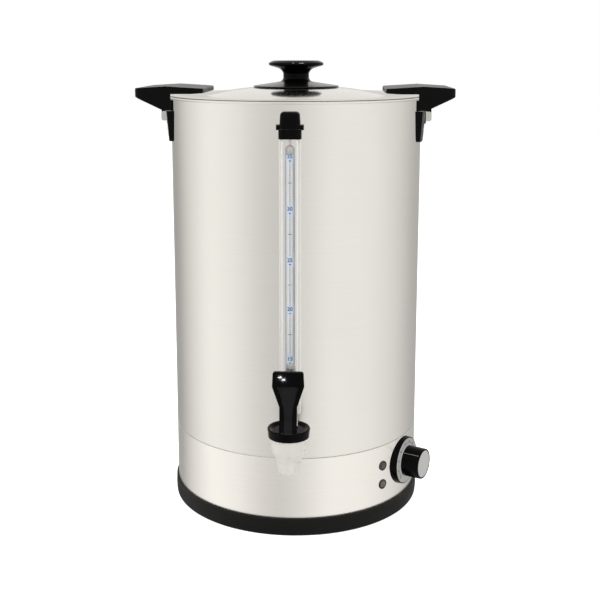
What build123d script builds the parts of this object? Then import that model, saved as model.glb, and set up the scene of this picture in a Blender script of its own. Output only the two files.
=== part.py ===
from build123d import *
import math
import os

# Hot water urn, about 35 litres: stainless tank on a skirt, clamp handles, sight gauge and lever tap.
# Millimetres. The tank's axis is Z, the ground is Z = 0, the tap faces -Y and the handles lie on X.
# An azimuth is counted from the tap towards +X. Each function makes one piece, and the dictionary
# at the end writes each piece to parts/NAME.step.

# ---------------------------------------------------------------- driving dimensions
# Tank, skirt and base
tank_r = 163.0              # outside radius of tank and skirt
sheet = 1.2                 # stainless sheet
fit_gap = 0.1               # gap between pieces that seat on each other
tap_fit = 0.15              # radial clearance of screws and pipes in their holes
rim_top = 538.6             # top of the tank's rolled rim
rim_bead_r = 1.7            # radius of the rolled rim
seam_z = 101.4              # top edge of the skirt
seam_gap = 1.3              # groove between skirt and tank
floor_rise = 1.6            # tank floor above the tank's lower edge
floor_thick = 1.5
floor_flange = 12.0         # depth of the floor's turned-down flange
skirt_bottom = 23.0
skirt_flange = 12.0         # width of the skirt's inward flange
ring_step = 3.0             # base ring beyond the skirt
ring_wall = 7.0
ring_ledge_thick = 4.0
ring_round = 3.0
plate_z = 6.6               # underside of the base plate
plate_thick = 1.2
boss_r = 5.0
screw_r = 2.0               # base screws
base_screw_count = 6
vent_count = 16
vent_ring_r = 105.0

# Heating element
loop_r = 95.0
element_r = 4.0
element_rise = 16.0         # loop centre above the tank floor
element_bend = 12.0
leg_angle = 14.0            # half of the loop's open angle
bush_r = 6.0
collar_r = 9.0
gasket_thick = 2.0
nut_thick = 5.0

# Thermostat, lamps and gland
dial_az = 61.0
dial_z = 69.2
bezel_r = 31.5              # bezel at the skirt; its side tapers towards the face
bezel_taper = 1.0
bezel_out = 6.5             # front face of the bezel beyond the tank
dial_plate_rim = 1.3        # bezel visible round the plate
dial_plate_thick = 1.0
dial_plate_proud = 0.2
knob_r = 19.8
knob_out = 31.0             # front of the knob beyond the tank
knob_gap = 1.0              # knob's back to dial plate
knob_bore_depth = 14.0
shaft_r = 3.0
run_gap = 0.06              # radial running clearance
thermo_w = 34.0
thermo_h = 30.0
thermo_deep = 26.0
thermo_in = 3.5             # face of the thermostat inside the tank's radius
cap_r = 17.4
cap_thick = 1.2
thermo_screw_r = 2.0
thermo_screw_off = 11.5
thermo_head_r = 3.4
bulb_r = 3.0
bulb_len = 70.0
capillary_r = 1.0
lamp_az = 45.2
lamp_hole_r = 5.6
lamp_flange_r = 6.4         # dark rim that stands on the skirt
lamp_flange = 1.0
lamp_lens_r = 4.7
lamp_z_high = 74.5
lamp_z_low = 49.6
lamp_lens_rise = 0.5        # lens front beyond the flange's face
lamp_back = 24.0            # length of the holder behind the skirt's face
gland_z = 52.0
gland_bore_r = 4.2
gland_body_r = 8.0
gland_head_r = 12.0
gland_head = 9.0
gland_nose = 11.0

# Tap
tap_out = 47.0              # vertical axis of the tap beyond the tank
shank_r = 10.0
shank_bore_r = 6.5
shank_drop = 11.8           # shank's axis below the cup's rim
shank_seat = 17.5           # end of the shank behind the tap's axis
shank_inside = 16.0         # shank beyond the tank's wall, inside
tap_boss_r = 11.6           # boss on the tap's back that takes the shank
screw_fit = 0.05            # thread modelled as a plain fit
tap_mouth_z = 104.5
nozzle_high = 16.5          # mouth of the spout to the bend
shoulder_high = 10.0        # bend to the cup's wall
cup_wall_high = 18.3        # cup's wall to its rim
tap_top_r = 23.0
tap_belly_r = 20.0
tap_bend_r = 14.6
tap_mouth_r = 12.2
tap_wall = 2.6
seat_drop = 1.0             # seat below the bend
seat_bore_r = 7.0
seat_thick = 2.2
bonnet_r = 25.3
bonnet_high = 10.9
bonnet_dish = 3.2
thread_r = 20.4
thread_high = 6.3
stem_r = 3.4
cup_r = 9.6
cup_high = 8.0
fulcrum_out = 21.0          # the lever's foot turns on the bonnet's front edge
fulcrum_rise = 0.4          # above the bonnet's top
fulcrum_r = 2.0
lever_neck = 28.4           # fulcrum to the lever's waist
lever_flare = 25.6          # waist to shoulder
lever_head = 17.0           # shoulder to top
lever_top_w = 37.4
lever_waist_w = 20.7
lever_lean = 15.5           # lever's face in front of the tap's axis
lever_thick = 9.0
lever_rim = 6.8             # black rim each side of the recessed panel at the shoulder
lever_panel_deep = 2.2
lever_pin_r = 1.5
spring_r = 6.6
spring_wire_r = 0.6
spring_turns = 5
washer_thick = 2.0
washer_r = 14.5
tank_nut_r = 15.0
tank_nut = 8.0
collar_len = 2.4

# Sight gauge
gauge_out = 8.0             # axis of the sight tube beyond the tank
tube_r = 5.65
tube_bore_r = 4.2
tube_foot = 22.5            # foot of the tube above the shank's axis
tube_len = 329.0
nipple_r = 1.5
nipple_bore_r = 0.7
neck_r = 7.3
neck_high = 78.5            # socket's neck above the shank's axis
socket_r = 15.0
gallery_r = 4.0             # passage from shank to tube
guard_w = 25.5
guard_out = 17.2            # front of the guard beyond the tank
guard_wall = 1.3
guard_back_out = 1.0
guard_foot = 5.0            # guard's end wall above the tube's foot
guard_over = 7.0            # guard above the tube's dome
guard_corner = 6.0
cap_high = 31.4             # black cap above the guard
cap_flange_low = 10.6
cap_flange_high = 5.7
cap_flange_w = 32.0
cap_skirt_w = 26.6
cap_dome_low_w = 24.8
cap_dome_w = 22.4
cap_dome_round = 4.6
cap_out = 18.6
cap_back_out = 0.4
cap_screw_high = 22.0       # cap screw above the guard
cap_screw_r = 2.5
scale_thick = 0.25
scale_margin = 11.0         # film's ends short of the neck and of the tube's top
scale_half_angle = 62.0

# Lid
lid_over = 2.3              # lid's edge beyond the tank
lid_seat = 0.3              # lid's edge above the rim
lid_edge = 2.1              # thickness of the lid's rolled edge
lid_step = 1.8              # ring below the edge
lid_sheet = 1.0
lid_lip_in = 3.4            # lid's step inside the tank's radius
lid_lip_deep = 9.0
lid_ring_w = 41.6           # flat ring between step and dome
dome_rise = 11.8
dome_bulge = 2.2
shield_r = 56.0
crown_cover = 22.0          # shield beyond the dome's flat crown
shield_edge_rise = 0.7
shield_hub_r = 22.0
shield_hub_rise = 5.5
knob_head_r = 35.7
knob_stem_r = 16.8
knob_foot_r = 24.0
knob_neck = 11.9            # knob's foot to its flare
knob_flare = 10.5
knob_crown = 5.0
lid_screw_r = 2.5

# Clamp handles (the right one; the left is its mirror image)
handle_half_w = 63.0
handle_tip_in = 48.0        # tip of the tongue inside the tank's radius
handle_reach = 39.0         # end of the grip beyond the tank
handle_ridge_in = 1.0
handle_ridge_rise = 11.4    # above the lid's edge
handle_side_rise = 9.6
handle_end_drop = 1.6       # grip's lower corner below the lid's edge
handle_round = 2.4
handle_corner = 9.0         # corners of the handle seen from above
tongue_gap = 1.8            # tongue's underside above the lid's edge
tongue_tip_gap = 2.8        # and at the tip, clear of the dome
tongue_bend = 17.0          # where the underside starts to rise, from the tip
rim_clear = 5.0             # grip's inner face beyond the tank
pin_drop = 26.0             # hinge pin below the rim
pin_out = 10.3              # hinge pin beyond the tank
pin_r = 1.75
heel_rise = 9.8             # grip's underside above the pin
heel_out = 3.0
saddle_top_rise = 8.9       # saddle's top above the pin
saddle_high = 39.0
saddle_arc = 75.0           # saddle's outer radius less the tank's
saddle_out = 6.0            # outer face at the middle, at the saddle's top
saddle_taper = 3.2
saddle_half_w = 60.0
saddle_round = 2.2
saddle_screw_az = 13.0
saddle_screw_drop = 12.6    # saddle screws below the pin
saddle_screw_r = 2.5
saddle_head_r = 4.6
lip_out = 3.5               # saddle's collar under the rim, beyond the tank
lip_drop = 0.4              # collar below the rim's bead
pad_half_w = 14.0
lug_r = 3.0
lug_half_w = 10.0
lug_play = 0.4
ear_thick = 1.6
ear_over = 6.0
ear_under = 6.2
ear_front = 3.1             # ear beyond the pin's axis
bracket_plate = 1.0

# ---------------------------------------------------------------- places worked out from them
tank_in = tank_r - sheet
shell_bottom = seam_z + seam_gap
floor_top = shell_bottom + floor_rise
floor_under = floor_top - floor_thick
floor_r = tank_in - fit_gap
rim_bead_z = rim_top - rim_bead_r
ring_r = tank_r + ring_step
plate_top = plate_z + plate_thick
screw_pcd_r = tank_r - sheet - skirt_flange / 2 - 1.0

bezel_face = tank_r + bezel_out
dial_face = bezel_face + dial_plate_proud
dial_seat = dial_face - dial_plate_thick
knob_front = tank_r + knob_out
thermo_face = tank_r - thermo_in

tap_y = -tank_r - tap_out
tap_bend_z = tap_mouth_z + nozzle_high
tap_belly_z = tap_bend_z + shoulder_high
tap_top_z = tap_belly_z + cup_wall_high
shank_z = tap_top_z - shank_drop
seat_z = tap_bend_z - seat_drop
thread_top = tap_top_z + thread_high
bonnet_top = tap_top_z + bonnet_high
fulcrum_y = tap_y - fulcrum_out
fulcrum_z = bonnet_top + fulcrum_rise
lever_waist = fulcrum_z + lever_neck
lever_shoulder = lever_waist + lever_flare
lever_top = lever_shoulder + lever_head
lever_face_y = tap_y - lever_lean

gauge_y = -tank_r - gauge_out
socket_back = -tank_r - washer_thick - fit_gap
socket_front = gauge_y - neck_r - 0.5
collar_y = socket_front - washer_thick - 2 * fit_gap - collar_len
shank_start = tap_y + shank_seat
shank_end = -tank_r + shank_inside
boss_end = collar_y - 1.0
tube_foot_z = shank_z + tube_foot
tube_top_z = tube_foot_z + tube_len
neck_top_z = shank_z + neck_high
guard_bottom = tube_foot_z + guard_foot
guard_top = tube_top_z + guard_over
guard_front = -tank_r - guard_out
guard_back = -tank_r - guard_back_out
cap_top = guard_top + cap_high
cap_flange_bottom = guard_top + cap_flange_low
cap_flange_top = cap_flange_bottom + cap_flange_high
cap_back = -tank_r - cap_back_out
cap_front = -tank_r - cap_out
cap_screw_z = guard_top + cap_screw_high
scale_bottom = neck_top_z + scale_margin
scale_top = tube_top_z - scale_margin

lid_r = tank_r + lid_over
lid_edge_z = rim_top + lid_seat
lid_top = lid_edge_z + lid_edge
lid_ring_z = lid_top - lid_step
lid_lip_r = tank_r - lid_lip_in
dome_r = lid_lip_r - lid_ring_w
crown_r = shield_r - crown_cover
crown_z = lid_ring_z + dome_rise
shield_edge_z = crown_z + shield_edge_rise
shield_top_z = crown_z + shield_hub_rise
knob_foot_z = shield_top_z + fit_gap
knob_flare_z = knob_foot_z + knob_neck
knob_wide_z = knob_flare_z + knob_flare
knob_top_z = knob_wide_z + knob_crown

handle_tip_x = tank_r - handle_tip_in
handle_end_x = tank_r + handle_reach
handle_ridge_x = tank_r - handle_ridge_in
handle_ridge_z = lid_top + handle_ridge_rise
handle_side_z = lid_top + handle_side_rise
handle_end_z = lid_top - handle_end_drop
tongue_under_z = lid_top + tongue_gap
tongue_tip_z = lid_top + tongue_tip_gap
tongue_bend_x = handle_tip_x + tongue_bend
rim_clear_r = tank_r + rim_clear
pin_x = tank_r + pin_out
pin_z = rim_top - pin_drop
handle_heel_x = tank_r + heel_out
handle_heel_z = pin_z + heel_rise
saddle_top = pin_z + saddle_top_rise
saddle_bottom = saddle_top - saddle_high
saddle_arc_r = tank_r + saddle_arc
saddle_mid_x = tank_r + saddle_out
saddle_cone_x = saddle_mid_x - saddle_arc_r
saddle_screw_z = pin_z - saddle_screw_drop
ear_top = pin_z + ear_over
ear_bottom = pin_z - ear_under
ear_out_x = pin_x + ear_front


def radial(azimuth, distance, height):
    """A location on the tank whose local Z points straight out and whose local Y points up."""
    a = math.radians(azimuth)
    out = (math.sin(a), -math.cos(a), 0)
    across = (math.cos(a), math.sin(a), 0)
    return Plane(origin=(distance * out[0], distance * out[1], height), x_dir=across, z_dir=out).location


def rod(radius, start, end):
    """A cylinder along Z from start to end."""
    base = Align.MIN
    return Pos(0, 0, start) * Cylinder(radius, end - start, align=(Align.CENTER, Align.CENTER, base))


def tube(outer, inner, start, end):
    return rod(outer, start, end) - rod(inner, start, end)


def y_rod(radius, x, y_start, y_end, z):
    """A cylinder along Y."""
    return Pos(x, y_end, z) * Rot(90, 0, 0) * rod(radius, 0, y_end - y_start)


def spun(points):
    """Revolve a closed outline of (radius, height) points about Z."""
    outline = Polyline(*[(r, 0, z) for r, z in points], close=True)
    return revolve(make_face(outline), Axis.Z)


def slab(x_size, y_size, z_size, x, y, z):
    """A box from its size and the middle of its underside."""
    return Pos(x, y, z) * Box(x_size, y_size, z_size, align=(Align.CENTER, Align.CENTER, Align.MIN))


def hexagon(across_flats, start, end):
    outline = RegularPolygon(across_flats / 2, 6, major_radius=False)
    return Pos(0, 0, start) * extrude(outline, end - start)


# ---------------------------------------------------------------- tank, skirt and base
def tank_shell():
    wall = tube(tank_r, tank_in, shell_bottom, rim_bead_z)
    bead_mid = tank_r + 0.2
    bead = revolve(Pos(bead_mid, 0, rim_bead_z) * (Rot(90, 0, 0) * Circle(rim_bead_r)), Axis.Z)
    shell = wall + bead
    shell -= radial(0, tank_r - 12, shank_z) * rod(shank_r + tap_fit, 0, 24)
    shell -= radial(0, tank_r - 12, cap_screw_z) * rod(cap_screw_r + tap_fit, 0, 24)
    for place in saddle_screw_places():
        shell -= place * rod(saddle_screw_r + tap_fit, -14, 4)
    return shell


def tank_floor():
    disc = rod(floor_r, floor_top - floor_flange, floor_top)
    disc -= rod(floor_r - floor_thick, floor_top - floor_flange - 1, floor_under)
    disc = fillet(disc.edges().group_by(Axis.Z)[-1], 1.2)
    for x, y in leg_places():
        disc -= Pos(x, y, 0) * rod(bush_r + tap_fit, floor_under - 2, floor_top + 2)
    return disc


def base_skirt():
    foot_in = tank_in - skirt_flange
    skirt = tube(tank_r, tank_in, skirt_bottom, seam_z)
    skirt += tube(tank_in, foot_in, skirt_bottom, skirt_bottom + sheet)
    skirt = fillet(skirt.edges().group_by(Axis.Z)[-1].sort_by(SortBy.RADIUS)[-1], 0.5)
    skirt -= radial(dial_az, tank_r - 8, dial_z) * rod(shaft_r + 2.5, 0, 16)
    for side in (-1, 1):
        hole = Pos(0, side * thermo_screw_off, 0) * rod(thermo_screw_r + tap_fit, 0, 16)
        skirt -= radial(dial_az, tank_r - 8, dial_z) * hole
    for height in (lamp_z_high, lamp_z_low):
        skirt -= radial(lamp_az, tank_r - 8, height) * rod(lamp_hole_r, 0, 16)
    skirt -= radial(180, tank_r - 8, gland_z) * rod(gland_body_r + tap_fit, 0, 16)
    for place in PolarLocations(screw_pcd_r, base_screw_count, start_angle=30):
        skirt -= place * rod(screw_r + tap_fit, skirt_bottom - 1, skirt_bottom + 3)
    return skirt


def base_ring():
    inner = ring_r - ring_wall
    top = skirt_bottom - fit_gap
    ledge_in = screw_pcd_r - boss_r
    under = top - ring_ledge_thick
    points = [(inner, 0), (ring_r - 1, 0), (ring_r - 0.4, 5), (ring_r, 12), (ring_r - 0.4, top),
              (ledge_in, top), (ledge_in, under), (inner, under)]
    ring = spun(points)
    foot = ring.edges().group_by(Axis.Z)[0].sort_by(SortBy.RADIUS)[-1]
    ring = fillet(foot, ring_round)
    for place in PolarLocations(screw_pcd_r, base_screw_count, start_angle=30):
        ring += place * rod(boss_r, plate_top + fit_gap, under + 1)
        ring -= place * rod(screw_r + tap_fit, plate_z, top + 1)
    return ring


def base_plate():
    plate = rod(ring_r - ring_wall - 0.5, plate_z, plate_top)
    for place in PolarLocations(screw_pcd_r, base_screw_count, start_angle=30):
        plate -= place * rod(screw_r + tap_fit, plate_z - 1, plate_top + 1)
    slot = extrude(SlotOverall(26, 4), plate_thick + 2)
    for place in PolarLocations(vent_ring_r, vent_count):
        plate -= Pos(0, 0, plate_z - 1) * place * slot
    return plate


def base_screws():
    top = skirt_bottom + sheet + 1.5
    screw = rod(screw_r, plate_z - 0.5, top) + rod(screw_r * 2, plate_z - 2.2, plate_z - fit_gap)
    return [place * screw for place in PolarLocations(screw_pcd_r, base_screw_count, start_angle=30)]


# ---------------------------------------------------------------- heating element
def leg_places():
    """Where the two element legs pass the tank floor, behind the tap's far side."""
    a = math.radians(leg_angle)
    x = loop_r * math.sin(a) - element_bend * math.cos(a)
    y = loop_r * math.cos(a) + element_bend * math.sin(a)
    return [(-x, y), (x, y)]


def heating_element():
    centre_z = floor_top + element_rise
    leg_foot = floor_under - nut_thick - 12
    a = math.radians(leg_angle)
    legs = leg_places()
    wires = []
    ends = []
    for side in (-1, 1):
        end = Vector(side * loop_r * math.sin(a), loop_r * math.cos(a), centre_z)
        inward = Vector(-side * math.cos(a), math.sin(a), 0)
        corner = end + inward * element_bend
        middle = end + inward * (element_bend * math.sin(math.pi / 4))
        middle += Vector(0, 0, -element_bend * (1 - math.cos(math.pi / 4)))
        drop = corner + Vector(0, 0, -element_bend)
        ends.append(end)
        wires.append((end, middle, drop, Vector(drop.X, drop.Y, leg_foot)))
    front = Vector(0, -loop_r, centre_z)
    left, right = wires
    path = Wire([
        Edge.make_line(left[3], left[2]),
        Edge.make_three_point_arc(left[2], left[1], left[0]),
        Edge.make_three_point_arc(left[0], front, right[0]),
        Edge.make_three_point_arc(right[0], right[1], right[2]),
        Edge.make_line(right[2], right[3]),
    ])
    section = Plane(origin=left[3], z_dir=(0, 0, 1)) * Circle(element_r)
    element = sweep(section, path=path)
    for x, y in legs:
        bush = rod(bush_r, floor_under - nut_thick - 4, floor_top + gasket_thick + 1)
        collar = rod(collar_r, floor_top + gasket_thick, floor_top + gasket_thick + 3)
        pin = rod(1.6, leg_foot - 7, leg_foot)
        element += Pos(x, y, 0) * (bush + collar + pin)
    return element


def element_gaskets():
    ring = tube(collar_r, bush_r + tap_fit, floor_top + fit_gap / 2, floor_top + gasket_thick - fit_gap / 2)
    return [Pos(x, y, 0) * ring for x, y in leg_places()]


def element_nuts():
    top = floor_under - fit_gap
    nut = hexagon(19, top - nut_thick, top) - rod(bush_r + tap_fit, top - nut_thick - 1, top + 1)
    return [Pos(x, y, 0) * nut for x, y in leg_places()]


def boil_dry_cutout():
    top = floor_under - fit_gap
    body = rod(8, top - 9, top) + slab(26, 7, 1, 0, 0, top - 4)
    body += slab(1, 6, 8, 4, 0, top - 16) + slab(1, 6, 8, -4, 0, top - 16)
    return Pos(0, 20, 0) * body


def terminal_block():
    block = slab(44, 18, 16, 0, 118, plate_top + fit_gap)
    for x in (-13.5, 0, 13.5):
        block -= slab(9, 12, 4, x, 118, plate_top + 13)
        block += Pos(x, 118, 0) * rod(3, plate_top + 12, plate_top + 14.5)
    return block


# ---------------------------------------------------------------- thermostat, lamps and gland
def thermostat_body():
    face = thermo_face
    body = radial(dial_az, face - thermo_deep, dial_z) * Box(
        thermo_w, thermo_h, thermo_deep, align=(Align.CENTER, Align.CENTER, Align.MIN))
    body = fillet(body.edges(), 2)
    body += radial(dial_az, 0, dial_z) * rod(shaft_r + 2.2, face - 1, dial_seat - 1)
    body -= radial(dial_az, face - 14, dial_z) * rod(shaft_r + run_gap, 0, 40)
    for side in (-1, 1):
        hole = Pos(0, side * thermo_screw_off, 0) * rod(thermo_screw_r + fit_gap, 0, 12)
        body -= radial(dial_az, face - 9, dial_z) * hole
    return body


def thermostat_bulb():
    """The sensing bulb under the tank floor and the thin capillary that ties it to the thermostat."""
    under = floor_under - bulb_r - fit_gap
    bulb = y_rod(bulb_r, 40, -60, -60 + bulb_len, under)
    back = radial(dial_az, thermo_face - thermo_deep, dial_z).position
    inward = Vector(-math.sin(math.radians(dial_az)), math.cos(math.radians(dial_az)), 0)
    start = Vector(back.X, back.Y, back.Z) + inward * fit_gap
    route = FilletPolyline(start, start + inward * 22, Vector(72, -76, 84), Vector(40, -84, under),
                           Vector(40, -60, under), radius=8)
    section = Plane(origin=start, z_dir=inward) * Circle(capillary_r)
    return bulb + sweep(section, path=route)


def thermostat_screws():
    head_back = dial_seat - 0.3
    screws = []
    for side in (-1, 1):
        screw = rod(thermo_screw_r, thermo_face - 8, head_back) + rod(thermo_head_r, head_back - 1.8, head_back)
        screws.append(radial(dial_az, 0, dial_z) * (Pos(0, side * thermo_screw_off, 0) * screw))
    return screws


def dial_bezel():
    """Black ring that follows the skirt at its back and carries the dial plate in its face."""
    back = tank_r - 4
    ring = Pos(0, 0, back) * Cone(bezel_r, bezel_r - bezel_taper, bezel_face - back,
                                  align=(Align.CENTER, Align.CENTER, Align.MIN))
    ring = fillet(ring.edges().group_by(Axis.Z)[-1], 0.6)
    ring -= rod(dial_plate_r() + fit_gap, dial_seat - fit_gap, bezel_face + 1)
    ring -= rod(shaft_r + 2.4, 0, bezel_face)
    for side in (-1, 1):
        place = Pos(0, side * thermo_screw_off, 0)
        ring -= place * rod(thermo_screw_r + tap_fit, 0, bezel_face)
        ring -= place * rod(thermo_head_r + 0.2, dial_seat - 2.2, bezel_face)
    bezel = radial(dial_az, 0, dial_z) * ring
    return bezel - rod(tank_r + fit_gap, 0, 2 * dial_z)


def dial_plate_r():
    return bezel_r - bezel_taper - dial_plate_rim


def dial_plate():
    plate = tube(dial_plate_r(), shaft_r + 1.0, dial_seat, dial_face)
    return radial(dial_az, 0, dial_z) * plate


def thermostat_shaft():
    shaft = rod(shaft_r, thermo_face - 12, knob_front - cap_thick - 4)
    return radial(dial_az, 0, dial_z) * shaft


def control_knob():
    back = dial_face + knob_gap
    knob = Pos(0, 0, back) * Cone(knob_r + 0.3, knob_r - 0.2, knob_front - back,
                                  align=(Align.CENTER, Align.CENTER, Align.MIN))
    knob = fillet(knob.edges().group_by(Axis.Z)[-1], 1.0)
    knob -= rod(cap_r + fit_gap, knob_front - cap_thick, knob_front + 1)
    knob -= tube(knob_r - 2.2, shaft_r + 3, back - 1, back + knob_bore_depth)
    knob -= rod(shaft_r + 0.05, back - 1, knob_front - cap_thick - 4 + fit_gap)
    return radial(dial_az, 0, dial_z) * knob


def knob_cap():
    disc = rod(cap_r, knob_front - cap_thick + fit_gap, knob_front - 0.1)
    disc = fillet(disc.edges().group_by(Axis.Z)[-1], 0.4)
    return radial(dial_az, 0, dial_z) * disc


def lamp_lens(height):
    front = tank_r + lamp_flange + lamp_lens_rise
    lens = rod(lamp_lens_r, front - 7, front)
    lens = fillet(lens.edges().group_by(Axis.Z)[-1], 1.6)
    return radial(lamp_az, 0, height) * lens


def lamp_holders():
    """Black snap-in barrels: a rim on the skirt, catches behind it and two blades at the back."""
    back = tank_r - lamp_back
    seat = tank_r + lamp_flange + lamp_lens_rise - 7 - fit_gap
    holder = rod(lamp_hole_r - fit_gap, back, tank_r + 0.5)
    rim = rod(lamp_flange_r, tank_r + 0.02, tank_r + lamp_flange)
    holder += fillet(rim.edges().group_by(Axis.Z)[-1], 0.4)
    holder -= rod(lamp_lens_r + fit_gap, seat, tank_r + lamp_flange + 1)
    inside = tank_r - sheet - lamp_hole_r ** 2 / tank_r
    for side in (-1, 1):
        holder += slab(1.4, 3.4, 5, side * (lamp_hole_r + 0.1), 0, inside - 5.1)
        holder += slab(0.8, 4.8, 8, side * 2.6, 0, back - 7.9)
    return [radial(lamp_az, 0, z) * holder for z in (lamp_z_high, lamp_z_low)]


def cord_gland():
    head = hexagon(gland_head_r * 2, tank_r + 0.4, tank_r + 0.4 + gland_head)
    nose = Pos(0, 0, tank_r + gland_head) * Cone(
        gland_head_r - 1.5, gland_bore_r + 2.6, gland_nose, align=(Align.CENTER, Align.CENTER, Align.MIN))
    gland = head + nose + rod(gland_body_r, tank_r - 12, tank_r + 2)
    gland -= rod(gland_bore_r, tank_r - 14, tank_r + gland_head + gland_nose + 2)
    return radial(180, 0, gland_z) * gland


def gland_nut():
    top = math.sqrt(tank_in ** 2 - gland_head_r ** 2) - fit_gap
    nut = hexagon(22, top - 4, top) - rod(gland_body_r + fit_gap, top - 5, top + 1)
    return radial(180, 0, gland_z) * nut


# ---------------------------------------------------------------- tap
def tap_body():
    """White moulding: the cup with its seat and spout, and the boss that takes the shank."""
    mouth_in = tap_mouth_r - tap_wall
    seat_under = seat_z - seat_thick
    outer = [(0, tap_mouth_z), (tap_mouth_r, tap_mouth_z), (tap_bend_r, tap_bend_z), (tap_belly_r, tap_belly_z),
             (tap_top_r, tap_top_z), (thread_r, tap_top_z), (thread_r, thread_top), (0, thread_top)]
    cup = spun(outer)
    rings = cup.edges().filter_by(GeomType.CIRCLE)
    cup = fillet(rings.filter_by(lambda e: abs(e.center().Z - tap_bend_z) < 0.1), shoulder_high * 0.5)
    rings = cup.edges().filter_by(GeomType.CIRCLE)
    cup = fillet(rings.filter_by(lambda e: abs(e.center().Z - tap_belly_z) < 0.1), shoulder_high * 0.6)
    cup = fillet(cup.edges().group_by(Axis.Z)[0], 1.0)
    tap = Pos(0, tap_y, 0) * cup
    tap += y_rod(tap_boss_r, 0, tap_y, boss_end, shank_z)
    low_r = tap_bend_r - tap_wall
    belly_r = tap_belly_r - tap_wall - 0.6
    high_r = thread_r - tap_wall
    chamber = spun([(0, seat_z), (low_r, seat_z), (low_r, tap_bend_z + 1), (belly_r, tap_belly_z),
                    (high_r, tap_top_z - 2), (high_r, thread_top + 1), (0, thread_top + 1)])
    outlet = spun([(0, tap_mouth_z - 1), (mouth_in, tap_mouth_z - 1), (mouth_in + 0.8, seat_under),
                   (0, seat_under)])
    tap -= Pos(0, tap_y, 0) * (chamber + outlet + rod(seat_bore_r, seat_under - 1, seat_z + 1))
    tap -= y_rod(shank_bore_r, 0, tap_y, boss_end + 1, shank_z)
    return tap - y_rod(shank_r + screw_fit, 0, shank_start - fit_gap, boss_end + 1, shank_z)


def tap_shank():
    """Hollow shank screwed into the tap's boss; its collar clamps the gauge socket to the tank."""
    shank = y_rod(shank_r, 0, shank_start, shank_end, shank_z)
    shank += y_rod(washer_r, 0, collar_y, collar_y + collar_len, shank_z)
    shank -= y_rod(shank_bore_r, 0, shank_start - 1, shank_end + 1, shank_z)
    return shank - Pos(0, gauge_y, 0) * rod(gallery_r - 0.6, shank_z, shank_z + shank_r + 2)


def tap_washers():
    inner = shank_r + tap_fit
    outside = socket_front - washer_thick - fit_gap
    inside = -math.sqrt(tank_in ** 2 - washer_r ** 2) + fit_gap
    rings = []
    for start in (outside, socket_back + fit_gap / 2, inside):
        end = start + washer_thick - fit_gap / 2
        rings.append(y_rod(washer_r, 0, start, end, shank_z) - y_rod(inner, 0, start - 1, end + 1, shank_z))
    return rings


def tap_shank_nut():
    start = -math.sqrt(tank_in ** 2 - washer_r ** 2) + washer_thick + 2 * fit_gap
    nut = Pos(0, start + tank_nut, shank_z) * Rot(90, 0, 0) * hexagon(tank_nut_r * 2 - 1, 0, tank_nut)
    return nut - y_rod(shank_r + fit_gap, 0, start - 1, start + tank_nut + 1, shank_z)


def tap_bonnet():
    """Screw cap of the tap: dished top, a guide for the stem and a groove for the lever's foot."""
    under = tap_top_z + fit_gap
    dish_z = bonnet_top - bonnet_dish
    guide_r = 5.2
    points = [(stem_r + run_gap, thread_top + 0.2), (thread_r + fit_gap, thread_top + 0.2),
              (thread_r + fit_gap, under), (bonnet_r - 1.0, under), (bonnet_r, bonnet_top - 1.2),
              (bonnet_r - 0.8, bonnet_top),
              (bonnet_r - 2.8, bonnet_top), (bonnet_r - 7.0, dish_z), (stem_r + run_gap, dish_z)]
    bonnet = spun(points)
    bonnet += tube(guide_r, stem_r + run_gap, thread_top - 4, thread_top + 0.5)
    bonnet = Pos(0, tap_y, 0) * bonnet
    pocket_w = lever_waist_w + 0.8
    bonnet -= slab(pocket_w, 9.0, 8, 0, fulcrum_y + 2.6, dish_z)
    rest = slab(pocket_w, 8.0, fulcrum_z - dish_z - 0.2, 0, fulcrum_y + 2.2, dish_z - 0.01)
    keep = Pos(0, tap_y, 0) * rod(bonnet_r - 0.6, dish_z - 1, fulcrum_z)
    bonnet += (rest & keep)
    groove = Pos(-pocket_w, fulcrum_y, fulcrum_z) * Rot(0, 90, 0) * rod(fulcrum_r + run_gap, 0, 2 * pocket_w)
    bonnet -= groove
    clear_top = slab(pocket_w, 20, 6, 0, fulcrum_y + 10 + fulcrum_r * 0.7, fulcrum_z - 1.2)
    bonnet -= clear_top
    return bonnet


def lever_profile(points):
    """A side outline of (y, z) points pushed out along X over the lever's full width."""
    outline = Polyline(*[(0, y, z) for y, z in points], close=True)
    return extrude(make_face(outline), lever_top_w, both=True)


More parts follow.
